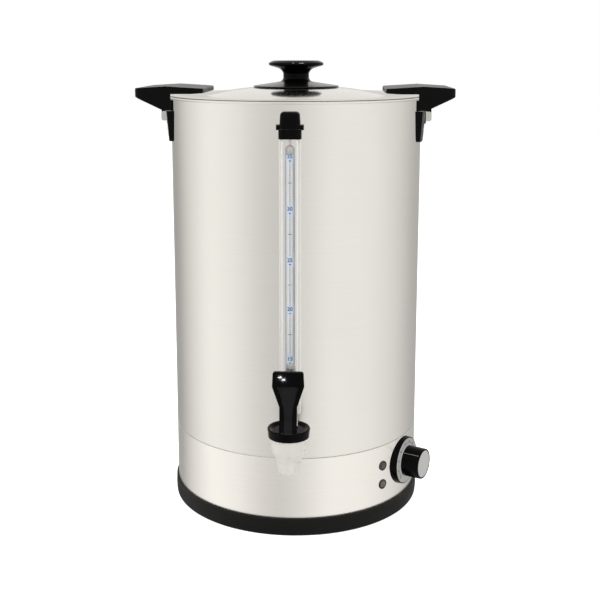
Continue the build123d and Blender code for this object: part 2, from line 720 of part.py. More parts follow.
def tap_lever():
    back_y = lever_face_y + lever_thick
    foot_z = fulcrum_z - 0.9
    side = lever_profile([
        (lever_face_y + 1.2, lever_top), (lever_face_y, lever_shoulder), (lever_face_y + 2.4, lever_waist),
        (lever_face_y + 1.6, fulcrum_z + 12), (fulcrum_y - 0.6, fulcrum_z + 4.5),
        (fulcrum_y - 1.0, fulcrum_z + 0.4), (fulcrum_y + 1.0, foot_z), (tap_y + 8.5, foot_z),
        (tap_y + 8.5, fulcrum_z + 7), (back_y + 2.4, fulcrum_z + 16), (back_y + 1.4, lever_waist),
        (back_y - 1.5, lever_top)])
    half_top = lever_top_w / 2
    half_waist = lever_waist_w / 2
    low = fulcrum_z - lever_neck
    front_points = [(-half_waist, low), (half_waist, low), (half_waist, lever_waist),
                    (half_top, lever_shoulder), (half_top - 0.8, lever_top),
                    (-half_top + 0.8, lever_top), (-half_top, lever_shoulder),
                    (-half_waist, lever_waist)]
    ahead = fulcrum_y - lever_thick
    front = Polyline(*[(x, ahead, z) for x, z in front_points], close=True)
    front = extrude(make_face(front), fulcrum_out + 3 * lever_thick, dir=(0, 1, 0))
    lever = side & front
    lever = fillet(lever.edges().filter_by(Axis.Y).group_by(Axis.Z)[-1], 3.0)
    top_face = lever.faces().sort_by(Axis.Z)[-1]
    lever = fillet(top_face.edges().filter_by(Axis.X), 1.6)
    ridge = Pos(-half_waist, fulcrum_y, fulcrum_z) * Rot(0, 90, 0) * rod(fulcrum_r, 0, lever_waist_w)
    lever += ridge
    panel_top = half_top - lever_rim
    panel_waist = half_waist - lever_rim * 0.7
    panel_foot = fulcrum_z + lever_neck * 0.5
    panel_points = [(-panel_waist + 1, panel_foot), (panel_waist - 1, panel_foot), (panel_waist, lever_waist),
                    (panel_top, lever_shoulder), (-panel_top, lever_shoulder), (-panel_waist, lever_waist)]
    panel = Polyline(*[(x, lever_face_y - 2, z) for x, z in panel_points], close=True)
    lever -= extrude(make_face(panel), lever_panel_deep + 2, dir=(0, 1, 0))
    slot_x = 2 * (stem_r + 0.5)
    slot_y = 2 * (stem_r + 3.0)
    lever -= slab(slot_x, slot_y, 12.0, 0, tap_y - 1.0, fulcrum_z - 4)
    pin_rod = rod(lever_pin_r, 0, lever_waist_w + 2)
    pin_hole = Pos(-half_waist - 1, tap_y, fulcrum_z) * Rot(0, 90, 0) * pin_rod
    cheeks = slab(lever_waist_w, 6.0, 5.0, 0, tap_y, fulcrum_z - 2.4)
    lever += cheeks - slab(slot_x, 9, 9, 0, tap_y, fulcrum_z - 4)
    return lever - pin_hole


def lever_pin():
    half = lever_waist_w / 2 - 0.2
    return Pos(-half, tap_y, fulcrum_z) * Rot(0, 90, 0) * rod(lever_pin_r - 0.03, 0, 2 * half)


def tap_stem():
    """Stem with a spring shoulder; its head has a slot that leaves the pin room to swing."""
    stem = rod(stem_r, seat_z + cup_high - 4, fulcrum_z + 3.4)
    stem += rod(8.0, seat_z + cup_high + fit_gap, seat_z + cup_high + 1.8)
    stem = Pos(0, tap_y, 0) * stem
    room = lever_pin_r + 0.35
    window = RectangleRounded(2 * room, 2 * room + 0.6, room - 0.05)
    return stem - Pos(0, tap_y - 0.5, fulcrum_z) * Rot(0, 90, 0) * extrude(window, 9, both=True)


def seat_cup():
    cup = spun([(0, seat_z + fit_gap), (seat_bore_r - 1.0, seat_z - 0.9),
                (seat_bore_r - 0.4, seat_z + fit_gap),
                (cup_r, seat_z + fit_gap), (cup_r - 0.8, seat_z + 3.0), (cup_r - 3.0, seat_z + cup_high),
                (0, seat_z + cup_high)])
    cup -= rod(stem_r + 0.05, seat_z + cup_high - 4 - fit_gap, seat_z + cup_high + 2)
    return Pos(0, tap_y, 0) * cup


def tap_spring():
    low = seat_z + cup_high + 1.8 + fit_gap + spring_wire_r
    high = thread_top - spring_wire_r - fit_gap
    height = high - low
    coil = Helix(pitch=height / spring_turns, height=height, radius=spring_r)
    start = coil @ 0
    section = Plane(origin=start, z_dir=coil % 0) * RegularPolygon(spring_wire_r, 6)
    return Pos(0, tap_y, low) * sweep(section, path=coil)


# ---------------------------------------------------------------- sight gauge
def gauge_socket():
    """Black moulding on the tap's shank that feeds and holds the foot of the sight tube."""
    socket = y_rod(socket_r, 0, socket_front, socket_back, shank_z)
    neck = Pos(0, gauge_y, 0) * rod(neck_r, shank_z, neck_top_z)
    socket += neck
    socket -= slab(3 * neck_r, 10, shank_z + washer_r + 1, 0, socket_back + 5, 0)
    socket = fillet(socket.edges().group_by(Axis.Z)[-1], 1.0)
    socket -= y_rod(shank_r + tap_fit, 0, socket_front - 1, socket_back + 1, shank_z)
    socket -= Pos(0, gauge_y, 0) * rod(gallery_r, shank_z, tube_foot_z + 1)
    socket -= Pos(0, gauge_y, 0) * rod(tube_r + tap_fit, tube_foot_z - fit_gap, neck_top_z + 1)
    socket -= Pos(0, gauge_y, 0) * rod(tube_r + 1.0, neck_top_z - 3, neck_top_z + 1)
    return socket


def gauge_tube():
    dome_z = tube_top_z - tube_r
    outer = rod(tube_r, tube_foot_z, dome_z) + Pos(0, 0, dome_z) * Sphere(tube_r)
    outer += rod(nipple_r, dome_z, guard_top + 6)
    bore = rod(tube_bore_r, tube_foot_z - 1, dome_z) + Pos(0, 0, dome_z) * Sphere(tube_bore_r)
    bore += rod(nipple_bore_r, dome_z, guard_top + 8)
    return Pos(0, gauge_y, 0) * (outer - bore)


def gauge_seals():
    low = Pos(0, gauge_y, 0) * tube(tube_r + 0.9, tube_r + 0.05, neck_top_z - 2.9, neck_top_z - 0.3)
    top = Pos(0, gauge_y, 0) * tube(nipple_r + 1.4, nipple_r + 0.05, guard_top - 0.2, guard_top + 1.8)
    return [low, top]


def gauge_scale():
    """Printed film wrapped on the front of the sight tube."""
    band = tube(tube_r + scale_thick, tube_r + 0.02, scale_bottom, scale_top)
    reach = 20.0
    a = math.radians(scale_half_angle)
    wedge = Polyline((0, 0, 0), (-reach * math.sin(a), -reach * math.cos(a), 0), (0, -2 * reach, 0),
                     (reach * math.sin(a), -reach * math.cos(a), 0), close=True)
    wedge = Pos(0, 0, scale_bottom) * extrude(make_face(wedge), scale_top - scale_bottom)
    return Pos(0, gauge_y, 0) * (band & wedge)


def guard_section(width, front, back, corner):
    """Cross-section of the guard: a box with its two front corners rounded."""
    depth = back - front
    box = Pos(0, (front + back) / 2) * Rectangle(width, depth)
    return fillet(box.vertices().group_by(Axis.Y)[0], corner)


def gauge_guard():
    """Clear U channel over the tube, with an end wall that sits on the socket's neck."""
    outer = guard_section(guard_w, guard_front, guard_back, guard_corner)
    inner = guard_section(guard_w - 2 * guard_wall, guard_front + guard_wall, guard_back + 2,
                          guard_corner - guard_wall)
    length = guard_top - guard_bottom
    guard = Pos(0, 0, guard_bottom) * extrude(outer, length)
    guard -= Pos(0, 0, guard_bottom + guard_wall) * extrude(inner, length)
    guard -= Pos(0, gauge_y, 0) * rod(neck_r + fit_gap, guard_bottom - 1, guard_bottom + 3)
    return guard - rod(tank_r + 0.3, guard_bottom - 1, guard_top + 1)


def gauge_top_cap():
    """Black cap over the top of guard and tube, screwed on through the tank wall."""
    skirt_z = guard_top + fit_gap
    flange_front = cap_front - 1.2
    back = cap_back + 3
    skirt_face = guard_section(cap_skirt_w, cap_front, back, 6.0)
    skirt = Pos(0, 0, skirt_z) * extrude(skirt_face, cap_flange_bottom - skirt_z + 1)
    flange_z = cap_flange_bottom
    flange = Pos(0, 0, flange_z) * extrude(
        guard_section(cap_flange_w, flange_front + 5, back, 1.5), cap_flange_top - cap_flange_bottom)
    low = Pos(0, 0, flange_z) * guard_section(cap_dome_low_w, cap_front + 0.6, back, 6.5)
    high = Pos(0, 0, cap_top) * guard_section(cap_dome_w, cap_front + 2.0, back, 6.5)
    dome = loft([low.face(), high.face()])
    top_edges = dome.edges().group_by(Axis.Z)[-1]
    dome = fillet(top_edges.filter_by(lambda e: e.center().Y < back - 0.5), cap_dome_round)
    cap = skirt + flange + dome
    cap -= rod(tank_r + 0.4, skirt_z - 1, cap_top + 1)
    prong_x = guard_w / 2 - guard_wall - 1.2
    for side in (-1, 1):
        cap += slab(1.8, 5, 5 + 1, side * prong_x, gauge_y - 1, skirt_z - 5)
    cap -= Pos(0, gauge_y, 0) * rod(nipple_r + 1.5, skirt_z - 1, guard_top + 2)
    cap -= Pos(0, gauge_y, 0) * rod(nipple_r + 0.2, skirt_z - 1, guard_top + 7)
    cap -= Pos(0, gauge_y, 0) * rod(0.8, guard_top + 6, cap_flange_top)
    cap -= radial(0, tank_r - 4, cap_screw_z) * rod(cap_screw_r + 0.05, 0, 13.5)
    return cap


def gauge_cap_screw():
    inner = tank_in - fit_gap - 0.2
    screw = rod(cap_screw_r, inner - 1, tank_r + 9) + rod(cap_screw_r * 2, inner - 3.4, inner - 0.2)
    return radial(0, 0, cap_screw_z) * screw


# ---------------------------------------------------------------- lid
def lid_shell():
    """Pressed lid: rolled edge on the tank rim, a step that drops into the mouth, a low dome."""
    t = lid_sheet
    edge_low = lid_edge_z
    lip_low = edge_low - lid_lip_deep
    outer = lid_r - lid_edge / 2
    dome_mid = (dome_r + crown_r) / 2
    rise = (crown_z + lid_ring_z) / 2 + dome_bulge
    top_edges = [
        Line((outer, 0, lid_top), (lid_lip_r + 0.8, 0, lid_top)),
        Line((lid_lip_r + 0.8, 0, lid_top), (lid_lip_r - 0.6, 0, lid_ring_z)),
        Line((lid_lip_r - 0.6, 0, lid_ring_z), (dome_r, 0, lid_ring_z)),
        ThreePointArc((dome_r, 0, lid_ring_z), (dome_mid, 0, rise), (crown_r, 0, crown_z)),
        Line((crown_r, 0, crown_z), (0, 0, crown_z)),
        Line((0, 0, crown_z), (0, 0, crown_z - t)),
        Line((0, 0, crown_z - t), (crown_r, 0, crown_z - t)),
        ThreePointArc((crown_r, 0, crown_z - t), (dome_mid, 0, rise - t), (dome_r, 0, lid_ring_z - t)),
        Line((dome_r, 0, lid_ring_z - t), (lid_lip_r - 1.6, 0, lid_ring_z - t)),
        Line((lid_lip_r - 1.6, 0, lid_ring_z - t), (lid_lip_r - 1.6, 0, lip_low)),
        Line((lid_lip_r - 1.6, 0, lip_low), (lid_lip_r - 0.4, 0, lip_low)),
        Line((lid_lip_r - 0.4, 0, lip_low), (lid_lip_r - 0.4, 0, edge_low)),
        Line((lid_lip_r - 0.4, 0, edge_low), (outer, 0, edge_low)),
        ThreePointArc((outer, 0, edge_low), (lid_r, 0, (edge_low + lid_top) / 2), (outer, 0, lid_top)),
    ]
    lid = revolve(make_face(Wire([e.edge() for e in top_edges])), Axis.Z)
    return lid - rod(lid_screw_r + tap_fit, crown_z - 5, crown_z + 5)


def steam_shield():
    hub_low = crown_z + fit_gap
    shield = spun([(lid_screw_r + tap_fit, hub_low), (shield_hub_r - 4, hub_low),
                   (shield_hub_r - 2, shield_top_z - 2.2), (shield_r - 0.4, shield_edge_z - 1.3),
                   (shield_r, shield_edge_z - 0.6), (shield_r - 0.6, shield_edge_z),
                   (shield_hub_r + 4, shield_top_z - 0.4), (shield_hub_r + 2, shield_top_z),
                   (lid_screw_r + tap_fit, shield_top_z)])
    return shield


def lid_knob():
    foot = knob_foot_z
    flare_z = knob_flare_z
    outline = [
        Line((0, 0, foot), (knob_foot_r, 0, foot)),
        ThreePointArc((knob_foot_r, 0, foot), (knob_stem_r + 1.6, 0, foot + 2.2),
                      (knob_stem_r, 0, foot + 5.5)),
        Line((knob_stem_r, 0, foot + 5.5), (knob_stem_r, 0, flare_z - 1)),
        ThreePointArc((knob_stem_r, 0, flare_z - 1), (knob_stem_r + 2.6, 0, flare_z + 3.2),
                      (knob_stem_r + 8.0, 0, flare_z + 6.2)),
        Line((knob_stem_r + 8.0, 0, flare_z + 6.2), (knob_head_r - 1.8, 0, knob_wide_z - 1.6)),
        ThreePointArc((knob_head_r - 1.8, 0, knob_wide_z - 1.6), (knob_head_r, 0, knob_wide_z + 0.8),
                      (knob_head_r - 2.2, 0, knob_wide_z + 3.2)),
        ThreePointArc((knob_head_r - 2.2, 0, knob_wide_z + 3.2), (knob_head_r - 5.0, 0, knob_wide_z + 4.6),
                      (knob_head_r - 9.0, 0, knob_top_z)),
        Line((knob_head_r - 9.0, 0, knob_top_z), (0, 0, knob_top_z)),
        Line((0, 0, knob_top_z), (0, 0, foot)),
    ]
    knob = revolve(make_face(Wire([e.edge() for e in outline])), Axis.Z)
    return knob - rod(lid_screw_r + 0.05, foot - 1, knob_wide_z - 6)


def lid_knob_screw():
    head_top = crown_z - lid_sheet - 1.4
    return rod(lid_screw_r, head_top - 1, knob_wide_z - 8) + rod(lid_screw_r * 2, head_top - 3.2, head_top)


def lid_knob_washer():
    top = crown_z - lid_sheet - fit_gap
    return tube(8, lid_screw_r + tap_fit, top - 1.2, top)


# ---------------------------------------------------------------- clamp handles, right side
def saddle_screw_places():
    """Radial places of the four saddle screws, on the tank's outer surface."""
    return [radial(side * 90 + off, tank_r, saddle_screw_z) for side in (1, -1)
            for off in (-saddle_screw_az, saddle_screw_az)]


def clamp_saddle():
    """Black leg that hugs the tank: thicker at its top and ends, with a flat for the hinge bracket."""
    high = saddle_top - saddle_bottom
    outer = Pos(saddle_cone_x, 0, saddle_bottom) * Cone(
        saddle_arc_r - saddle_taper, saddle_arc_r, high, align=(Align.CENTER, Align.CENTER, Align.MIN))
    side_view = Polyline((0, -saddle_half_w, saddle_top), (0, saddle_half_w, saddle_top),
                         (0, saddle_half_w - 4, saddle_bottom), (0, -saddle_half_w + 4, saddle_bottom),
                         close=True)
    block = extrude(make_face(side_view), 200, dir=(1, 0, 0))
    block = fillet(block.edges().filter_by(Axis.X).group_by(Axis.Z)[0], 5)
    saddle = block & outer
    collar_low = saddle_top - saddle_high / 2
    collar_top = rim_bead_z - rim_bead_r - lip_drop
    collar = rod(tank_r + lip_out, collar_low, collar_top)
    collar &= slab(2 * tank_r, 2 * (saddle_half_w - 4), collar_top - collar_low, tank_r * 1.5, 0, collar_low)
    saddle += collar
    saddle += slab(20, 2 * pad_half_w, saddle_top - ear_bottom + 3, saddle_mid_x - 10, 0, ear_bottom - 3)
    saddle -= rod(tank_r + fit_gap, saddle_bottom - 5, collar_top + 5)
    for off in (-saddle_screw_az, saddle_screw_az):
        place = radial(90 + off, tank_r, saddle_screw_z)
        saddle -= place * rod(saddle_screw_r + tap_fit, -5, 20)
        saddle -= place * rod(saddle_head_r + 0.4, 3.0, 20)
    return saddle


def saddle_screws():
    screw = rod(saddle_screw_r, -9, 3.2) + rod(saddle_head_r, 3.1, 5.4)
    return [place * screw for place in saddle_screw_places()]


def saddle_nuts():
    back = -sheet - fit_gap - 0.2
    nut = hexagon(8, back - 4, back) - rod(saddle_screw_r + 0.05, back - 5, back + 1)
    return [place * nut for place in saddle_screw_places()]


def hinge_bracket():
    """Bright U bracket: a plate on the saddle's flat and two ears that carry the hinge pin."""
    plate_x = saddle_mid_x + 0.05
    high = ear_top - ear_bottom
    width = 2 * (lug_half_w + lug_play + ear_thick)
    bracket = slab(bracket_plate, width, high, plate_x + bracket_plate / 2, 0, ear_bottom)
    for side in (-1, 1):
        y = side * (lug_half_w + lug_play + ear_thick / 2)
        ear = slab(ear_out_x - plate_x, ear_thick, high, (ear_out_x + plate_x) / 2, y, ear_bottom)
        ear = fillet(ear.edges().filter_by(Axis.Y).group_by(Axis.X)[-1], 2.8)
        bracket += ear
    return bracket - y_rod(pin_r + 0.03, pin_x, -width, width, pin_z)


def hinge_pin():
    half = lug_half_w + lug_play + ear_thick
    return y_rod(pin_r, pin_x, -half - 1, half + 1, pin_z)


def clamp_handle():
    """Black moulded lever: tongue over the lid, wedge-shaped grip, lug on the hinge pin."""
    inner_x = (tongue_bend_x + tank_r) / 2
    outline = Polyline(
        (handle_tip_x, 0, tongue_tip_z), (handle_tip_x, 0, handle_side_z - 1.0),
        (handle_ridge_x, 0, handle_ridge_z), (handle_end_x, 0, handle_side_z - 0.6),
        (handle_end_x, 0, handle_end_z), (handle_heel_x, 0, handle_heel_z),
        (inner_x, 0, handle_heel_z), (inner_x, 0, tongue_under_z), (tongue_bend_x, 0, tongue_under_z),
        close=True)
    bar = extrude(make_face(outline), handle_half_w, both=True)
    across = bar.edges().filter_by(Axis.Y)
    ends = across.filter_by(lambda e: e.center().X > handle_end_x - 0.1)
    tip = across.filter_by(lambda e: e.center().X < handle_tip_x + 0.1).sort_by(Axis.Z)[-1:]
    bar = fillet(ends + tip, handle_round)
    base_z = handle_heel_z - 1
    plan = RectangleRounded(handle_end_x - handle_tip_x, 2 * handle_half_w, handle_corner)
    plan = Pos((handle_tip_x + handle_end_x) / 2, 0, base_z) * extrude(plan, handle_ridge_z - base_z + 1)
    handle = bar & plan
    handle -= rod(rim_clear_r, base_z - 1, tongue_under_z)
    stub_h = handle_heel_z + 2 * lug_r - pin_z
    lug = slab(2 * lug_r, 2 * lug_half_w, stub_h, pin_x, 0, pin_z)
    lug += y_rod(lug_r, pin_x, -lug_half_w, lug_half_w, pin_z)
    return handle + lug - y_rod(pin_r + run_gap, pin_x, -2 * lug_half_w, 2 * lug_half_w, pin_z)


def mirrored(shape):
    return mirror(shape, about=Plane.YZ)


# ---------------------------------------------------------------- write the parts
pieces = {
    "tank_shell": tank_shell(),
    "tank_floor": tank_floor(),
    "base_skirt": base_skirt(),
    "base_ring": base_ring(),
    "base_plate": base_plate(),
    "base_screws": base_screws(),
    "heating_element": heating_element(),
    "element_gaskets": element_gaskets(),
    "element_nuts": element_nuts(),
    "boil_dry_cutout": boil_dry_cutout(),
    "terminal_block": terminal_block(),
    "thermostat_body": thermostat_body(),
    "thermostat_bulb": thermostat_bulb(),
    "thermostat_screws": thermostat_screws(),
    "dial_bezel": dial_bezel(),
    "dial_plate": dial_plate(),
    "thermostat_shaft": thermostat_shaft(),
    "control_knob": control_knob(),
    "knob_cap": knob_cap(),
    "lamp_lens_heating": lamp_lens(lamp_z_high),
    "lamp_lens_warm": lamp_lens(lamp_z_low),
    "lamp_holders": lamp_holders(),
    "cord_gland": cord_gland(),
    "gland_nut": gland_nut(),
    "tap_body": tap_body(),
    "tap_shank": tap_shank(),
    "tap_washers": tap_washers(),
    "tap_shank_nut": tap_shank_nut(),
    "tap_bonnet": tap_bonnet(),
    "tap_lever": tap_lever(),
    "lever_pin": lever_pin(),
    "tap_stem": tap_stem(),
    "seat_cup": seat_cup(),
    "tap_spring": tap_spring(),
    "gauge_socket": gauge_socket(),
    "gauge_tube": gauge_tube(),
    "gauge_seals": gauge_seals(),
    "gauge_scale": gauge_scale(),
    "gauge_guard": gauge_guard(),
    "gauge_top_cap": gauge_top_cap(),
    "gauge_cap_screw": gauge_cap_screw(),
    "lid_shell": lid_shell(),
    "steam_shield": steam_shield(),
    "lid_knob": lid_knob(),
    "lid_knob_screw": lid_knob_screw(),
    "lid_knob_washer": lid_knob_washer(),
    "saddle_screws": saddle_screws(),
    "saddle_nuts": saddle_nuts(),
    "clamp_saddle_right": clamp_saddle(),
    "hinge_bracket_right": hinge_bracket(),
    "hinge_pin_right": hinge_pin(),
    "clamp_handle_right": clamp_handle(),
}
for name in ("clamp_saddle", "hinge_bracket", "hinge_pin", "clamp_handle"):
    pieces[name + "_left"] = mirrored(pieces[name + "_right"])

os.makedirs("parts", exist_ok=True)
for name, shape in pieces.items():
    solids = shape if isinstance(shape, list) else [shape]
    solids = [one for part in solids for one in part.solids()]
    export_step(Compound(children=solids) if len(solids) > 1 else solids[0], "parts/" + name + ".step")
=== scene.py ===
"""Dressing of a hot water urn: satin stainless tank, clear sight gauge, lever tap, clamp handles."""
import math

import bmesh
import bpy
from mathutils import Matrix, Vector


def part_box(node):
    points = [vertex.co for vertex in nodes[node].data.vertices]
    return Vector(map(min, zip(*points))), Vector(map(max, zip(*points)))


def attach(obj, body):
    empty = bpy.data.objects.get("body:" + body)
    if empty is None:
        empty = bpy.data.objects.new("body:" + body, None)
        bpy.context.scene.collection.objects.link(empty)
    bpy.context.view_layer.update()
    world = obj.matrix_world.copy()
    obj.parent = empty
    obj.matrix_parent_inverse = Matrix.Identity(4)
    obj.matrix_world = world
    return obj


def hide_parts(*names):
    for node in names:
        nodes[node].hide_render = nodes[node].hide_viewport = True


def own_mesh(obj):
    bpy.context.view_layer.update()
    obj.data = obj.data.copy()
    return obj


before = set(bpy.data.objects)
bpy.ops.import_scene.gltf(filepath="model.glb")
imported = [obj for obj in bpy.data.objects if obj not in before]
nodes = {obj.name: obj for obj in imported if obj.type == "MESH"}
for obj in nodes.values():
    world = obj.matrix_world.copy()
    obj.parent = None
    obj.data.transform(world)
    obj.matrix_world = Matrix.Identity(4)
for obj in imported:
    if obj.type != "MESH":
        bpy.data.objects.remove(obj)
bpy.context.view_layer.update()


# ------------------------------------------------------------------ tank and skirt
# The tank and the skirt are stainless sheet, rolled, seam-welded at the back and belt-ground round
# the circumference. The grinding gives long fine lines round the wall and a soft satin gloss that
# spreads up and down, so the tank shows broad upright bands of light.
MM = 1000.0                      # MM / 2 scales a pattern so that its cells are 2 mm wide
GRIT_MM = 0.9                    # real grit leaves lines 0.1 mm apart, too fine to show
GRIT_RUN = 9                     # cells to the metre along a line, so that it runs on for 110 mm
CLOUDS = (14, 14, 5)             # cells to the metre, for patches 70 mm wide and 200 mm high
WELD_HALF, WELD_EDGE = 0.0012, 0.0026    # half the weld's width, and where its colour has faded out


def linear(code):
    """An sRGB hex colour as linear red, green and blue, with full cover."""
    parts = [int(code[i:i + 2], 16) / 255 for i in (1, 3, 5)]
    return [c / 12.92 if c <= 0.04045 else ((c + 0.055) / 1.055) ** 2.4 for c in parts] + [1.0]


def add(tree, kind, inputs=None, stops=None, **settings):
    """Adds a node. An input given a socket is linked to it, and any other is set."""
    made = tree.nodes.new(kind)
    for name, value in settings.items():
        setattr(made, name, value)
    for place, (position, colour) in enumerate(stops or []):
        ramp = made.color_ramp.elements
        stop = ramp[place] if place < len(ramp) else ramp.new(position)
        stop.position = position
        stop.color = colour
    for name, value in (inputs or {}).items():
        if isinstance(value, bpy.types.NodeSocket):
            tree.links.new(value, made.inputs[name])
        else:
            made.inputs[name].default_value = value
    return made


def link(tree, source, node, socket):
    tree.links.new(source, node.inputs[socket])


def new_material(name, colour, roughness, metallic=0.0, **sockets):
    """A material with one principled shader. Underscores in a socket's name stand for spaces."""
    made = bpy.data.materials.new(name)
    made.use_nodes = True
    made.diffuse_color = linear(colour)
    shader = made.node_tree.nodes["Principled BSDF"]
    shader.inputs["Base Color"].default_value = linear(colour)
    shader.inputs["Roughness"].default_value = roughness
    shader.inputs["Metallic"].default_value = metallic
    for socket, value in sockets.items():
        shader.inputs[socket.replace("_", " ")].default_value = value
    return made, made.node_tree, shader


def dress(material, *names):
    for name in names:
        for slot in nodes[name].material_slots:
            slot.material = material


def object_place(tree, scale=(1, 1, 1), turn=(0, 0, 0)):
    """Object coordinates through a mapping, in metres before the scale."""
    place = add(tree, "ShaderNodeTexCoord").outputs["Object"]
    return add(tree, "ShaderNodeMapping",
               {"Vector": place, "Scale": scale, "Rotation": turn}).outputs["Vector"]


def ground_steel(name, light, dark, roughness):
    """Satin stainless: lines round the wall, faint cloudy patches and a welded seam at the back."""
    steel, tree, shader = new_material(name, light, roughness, metallic=1.0, Anisotropic=0.35,
                                       Anisotropic_Rotation=0.25)
    grit = object_place(tree, (GRIT_RUN, GRIT_RUN, MM / GRIT_MM))
    lines = add(tree, "ShaderNodeTexNoise", {"Vector": grit, "Scale": 1.0, "Detail": 3.0, "Roughness": 0.6})
    clouds = add(tree, "ShaderNodeTexNoise",
                 {"Vector": object_place(tree, CLOUDS), "Scale": 1.0, "Detail": 2.0})
    blend = add(tree, "ShaderNodeMath", {0: lines.outputs["Fac"], 1: clouds.outputs["Fac"]},
                operation="ADD")
    tint = add(tree, "ShaderNodeMapRange",
               {"Value": blend.outputs[0], "From Min": 0.75, "From Max": 1.25})
    colour = add(tree, "ShaderNodeMix", {0: tint.outputs[0], 6: linear(dark), 7: linear(light)},
                 data_type="RGBA")
    # The weld is a heat-tinted stripe, about 4 mm wide, up the back of the wall.
    place = add(tree, "ShaderNodeSeparateXYZ", {"Vector": object_place(tree)})
    off = add(tree, "ShaderNodeMath", {0: place.outputs["X"]}, operation="ABSOLUTE")
    near = add(tree, "ShaderNodeMapRange", {"Value": off.outputs[0], "From Min": WELD_HALF,
                                            "From Max": WELD_EDGE, "To Min": 1.0, "To Max": 0.0})
    back = add(tree, "ShaderNodeMath", {0: place.outputs["Y"], 1: 0.1}, operation="GREATER_THAN")
    weld = add(tree, "ShaderNodeMath", {0: near.outputs[0], 1: back.outputs[0]}, operation="MULTIPLY")
    heat = add(tree, "ShaderNodeMath", {0: weld.outputs[0], 1: 0.45}, operation="MULTIPLY")
    seamed = add(tree, "ShaderNodeMix",
                 {0: heat.outputs[0], 6: colour.outputs[2], 7: linear("#8F8577")}, data_type="RGBA")
    link(tree, seamed.outputs[2], shader, "Base Color")
    rough = add(tree, "ShaderNodeMapRange",
                {"Value": lines.outputs["Fac"], "From Min": 0.3, "From Max": 0.7,
                 "To Min": roughness - 0.008, "To Max": roughness + 0.008})
    link(tree, rough.outputs[0], shader, "Roughness")
    height = add(tree, "ShaderNodeMath", {0: weld.outputs[0], 1: lines.outputs["Fac"]}, operation="ADD")
    relief = add(tree, "ShaderNodeBump",
                 {"Strength": 0.03, "Distance": 0.00002, "Height": height.outputs[0]})
    link(tree, relief.outputs["Normal"], shader, "Normal")
    return steel


tank_steel = ground_steel("satin_ground_stainless_tank", "#EAE8E3", "#E6E4DF", 0.30)
dress(tank_steel, "tank_shell", "tank_floor")
dress(ground_steel("satin_ground_stainless_skirt", "#F2F0EB", "#EEEBE6", 0.28), "base_skirt")

# The tank's edge is rolled over a wire. The bead is laid over the solid's own with finer facets, so
# that the thin seam under the lid runs even all the way round.
RIM_R, RIM_Z, BEAD_R = 0.16320, 0.5369, 0.00172
RIM_STEPS, BEAD_STEPS = 288, 20  # facets round the tank, and round the bead


def in_scene(name, data):
    """A new object in the scene, which holds a mesh, a curve, a lamp or a camera."""
    made = bpy.data.objects.new(name, data)
    bpy.context.scene.collection.objects.link(made)
    return made


def skinned(name, rings, material=None, looped=False, smooth=False):
    """A closed skin over rings of points. It loops back to the first ring, or its two ends are
    capped. A ring of one point is a pole."""
    shape = bmesh.new()
    rows = [[shape.verts.new(point) for point in ring] for ring in rings]
    steps = max(len(row) for row in rows)
    if looped:
        rows.append(rows[0])
    else:
        for end in (rows[0], rows[-1]):
            if len(end) > 1:
                shape.faces.new(end)
    for low, high in zip(rows, rows[1:]):
        for i in range(steps):
            j = (i + 1) % steps
            corners = [low[i % len(low)], low[j % len(low)], high[j % len(high)], high[i % len(high)]]
            shape.faces.new(list(dict.fromkeys(corners)))
    bmesh.ops.recalc_face_normals(shape, faces=shape.faces)
    mesh = bpy.data.meshes.new(name)
    shape.to_mesh(mesh)
    shape.free()
    if material:
        mesh.materials.append(material)
    mesh.polygons.foreach_set("use_smooth", [smooth] * len(mesh.polygons))
    return in_scene(name, mesh)


def wound_wire(name, axis, coil_r, stations, wire_r, steps, material, looped=False):
    """Round wire about an upright axis, through stations that each give a turn and a height."""
    rolls = [2 * math.pi * j / steps for j in range(steps)]
    rings = []
    for turn, height in stations:
        outward = Vector((math.cos(turn), math.sin(turn), 0.0))
        middle = Vector((axis[0], axis[1], height)) + outward * coil_r
        rings.append([middle + outward * (wire_r * math.cos(a)) + Vector((0, 0, wire_r * math.sin(a)))
                      for a in rolls])
    return skinned(name, rings, material, looped, smooth=True)


stations = [(2 * math.pi * i / RIM_STEPS, RIM_Z) for i in range(RIM_STEPS)]
rim = wound_wire("rolled_rim", (0, 0), RIM_R, stations, BEAD_R, BEAD_STEPS, tank_steel, looped=True)
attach(rim, "urn")

# ------------------------------------------------------------------ base ring, base plate and screws
# The base ring is moulded polypropylene with a fine matt spark texture. The plate under it is
# zinc-plated sheet, held to the skirt's flange by six cross-head screws.


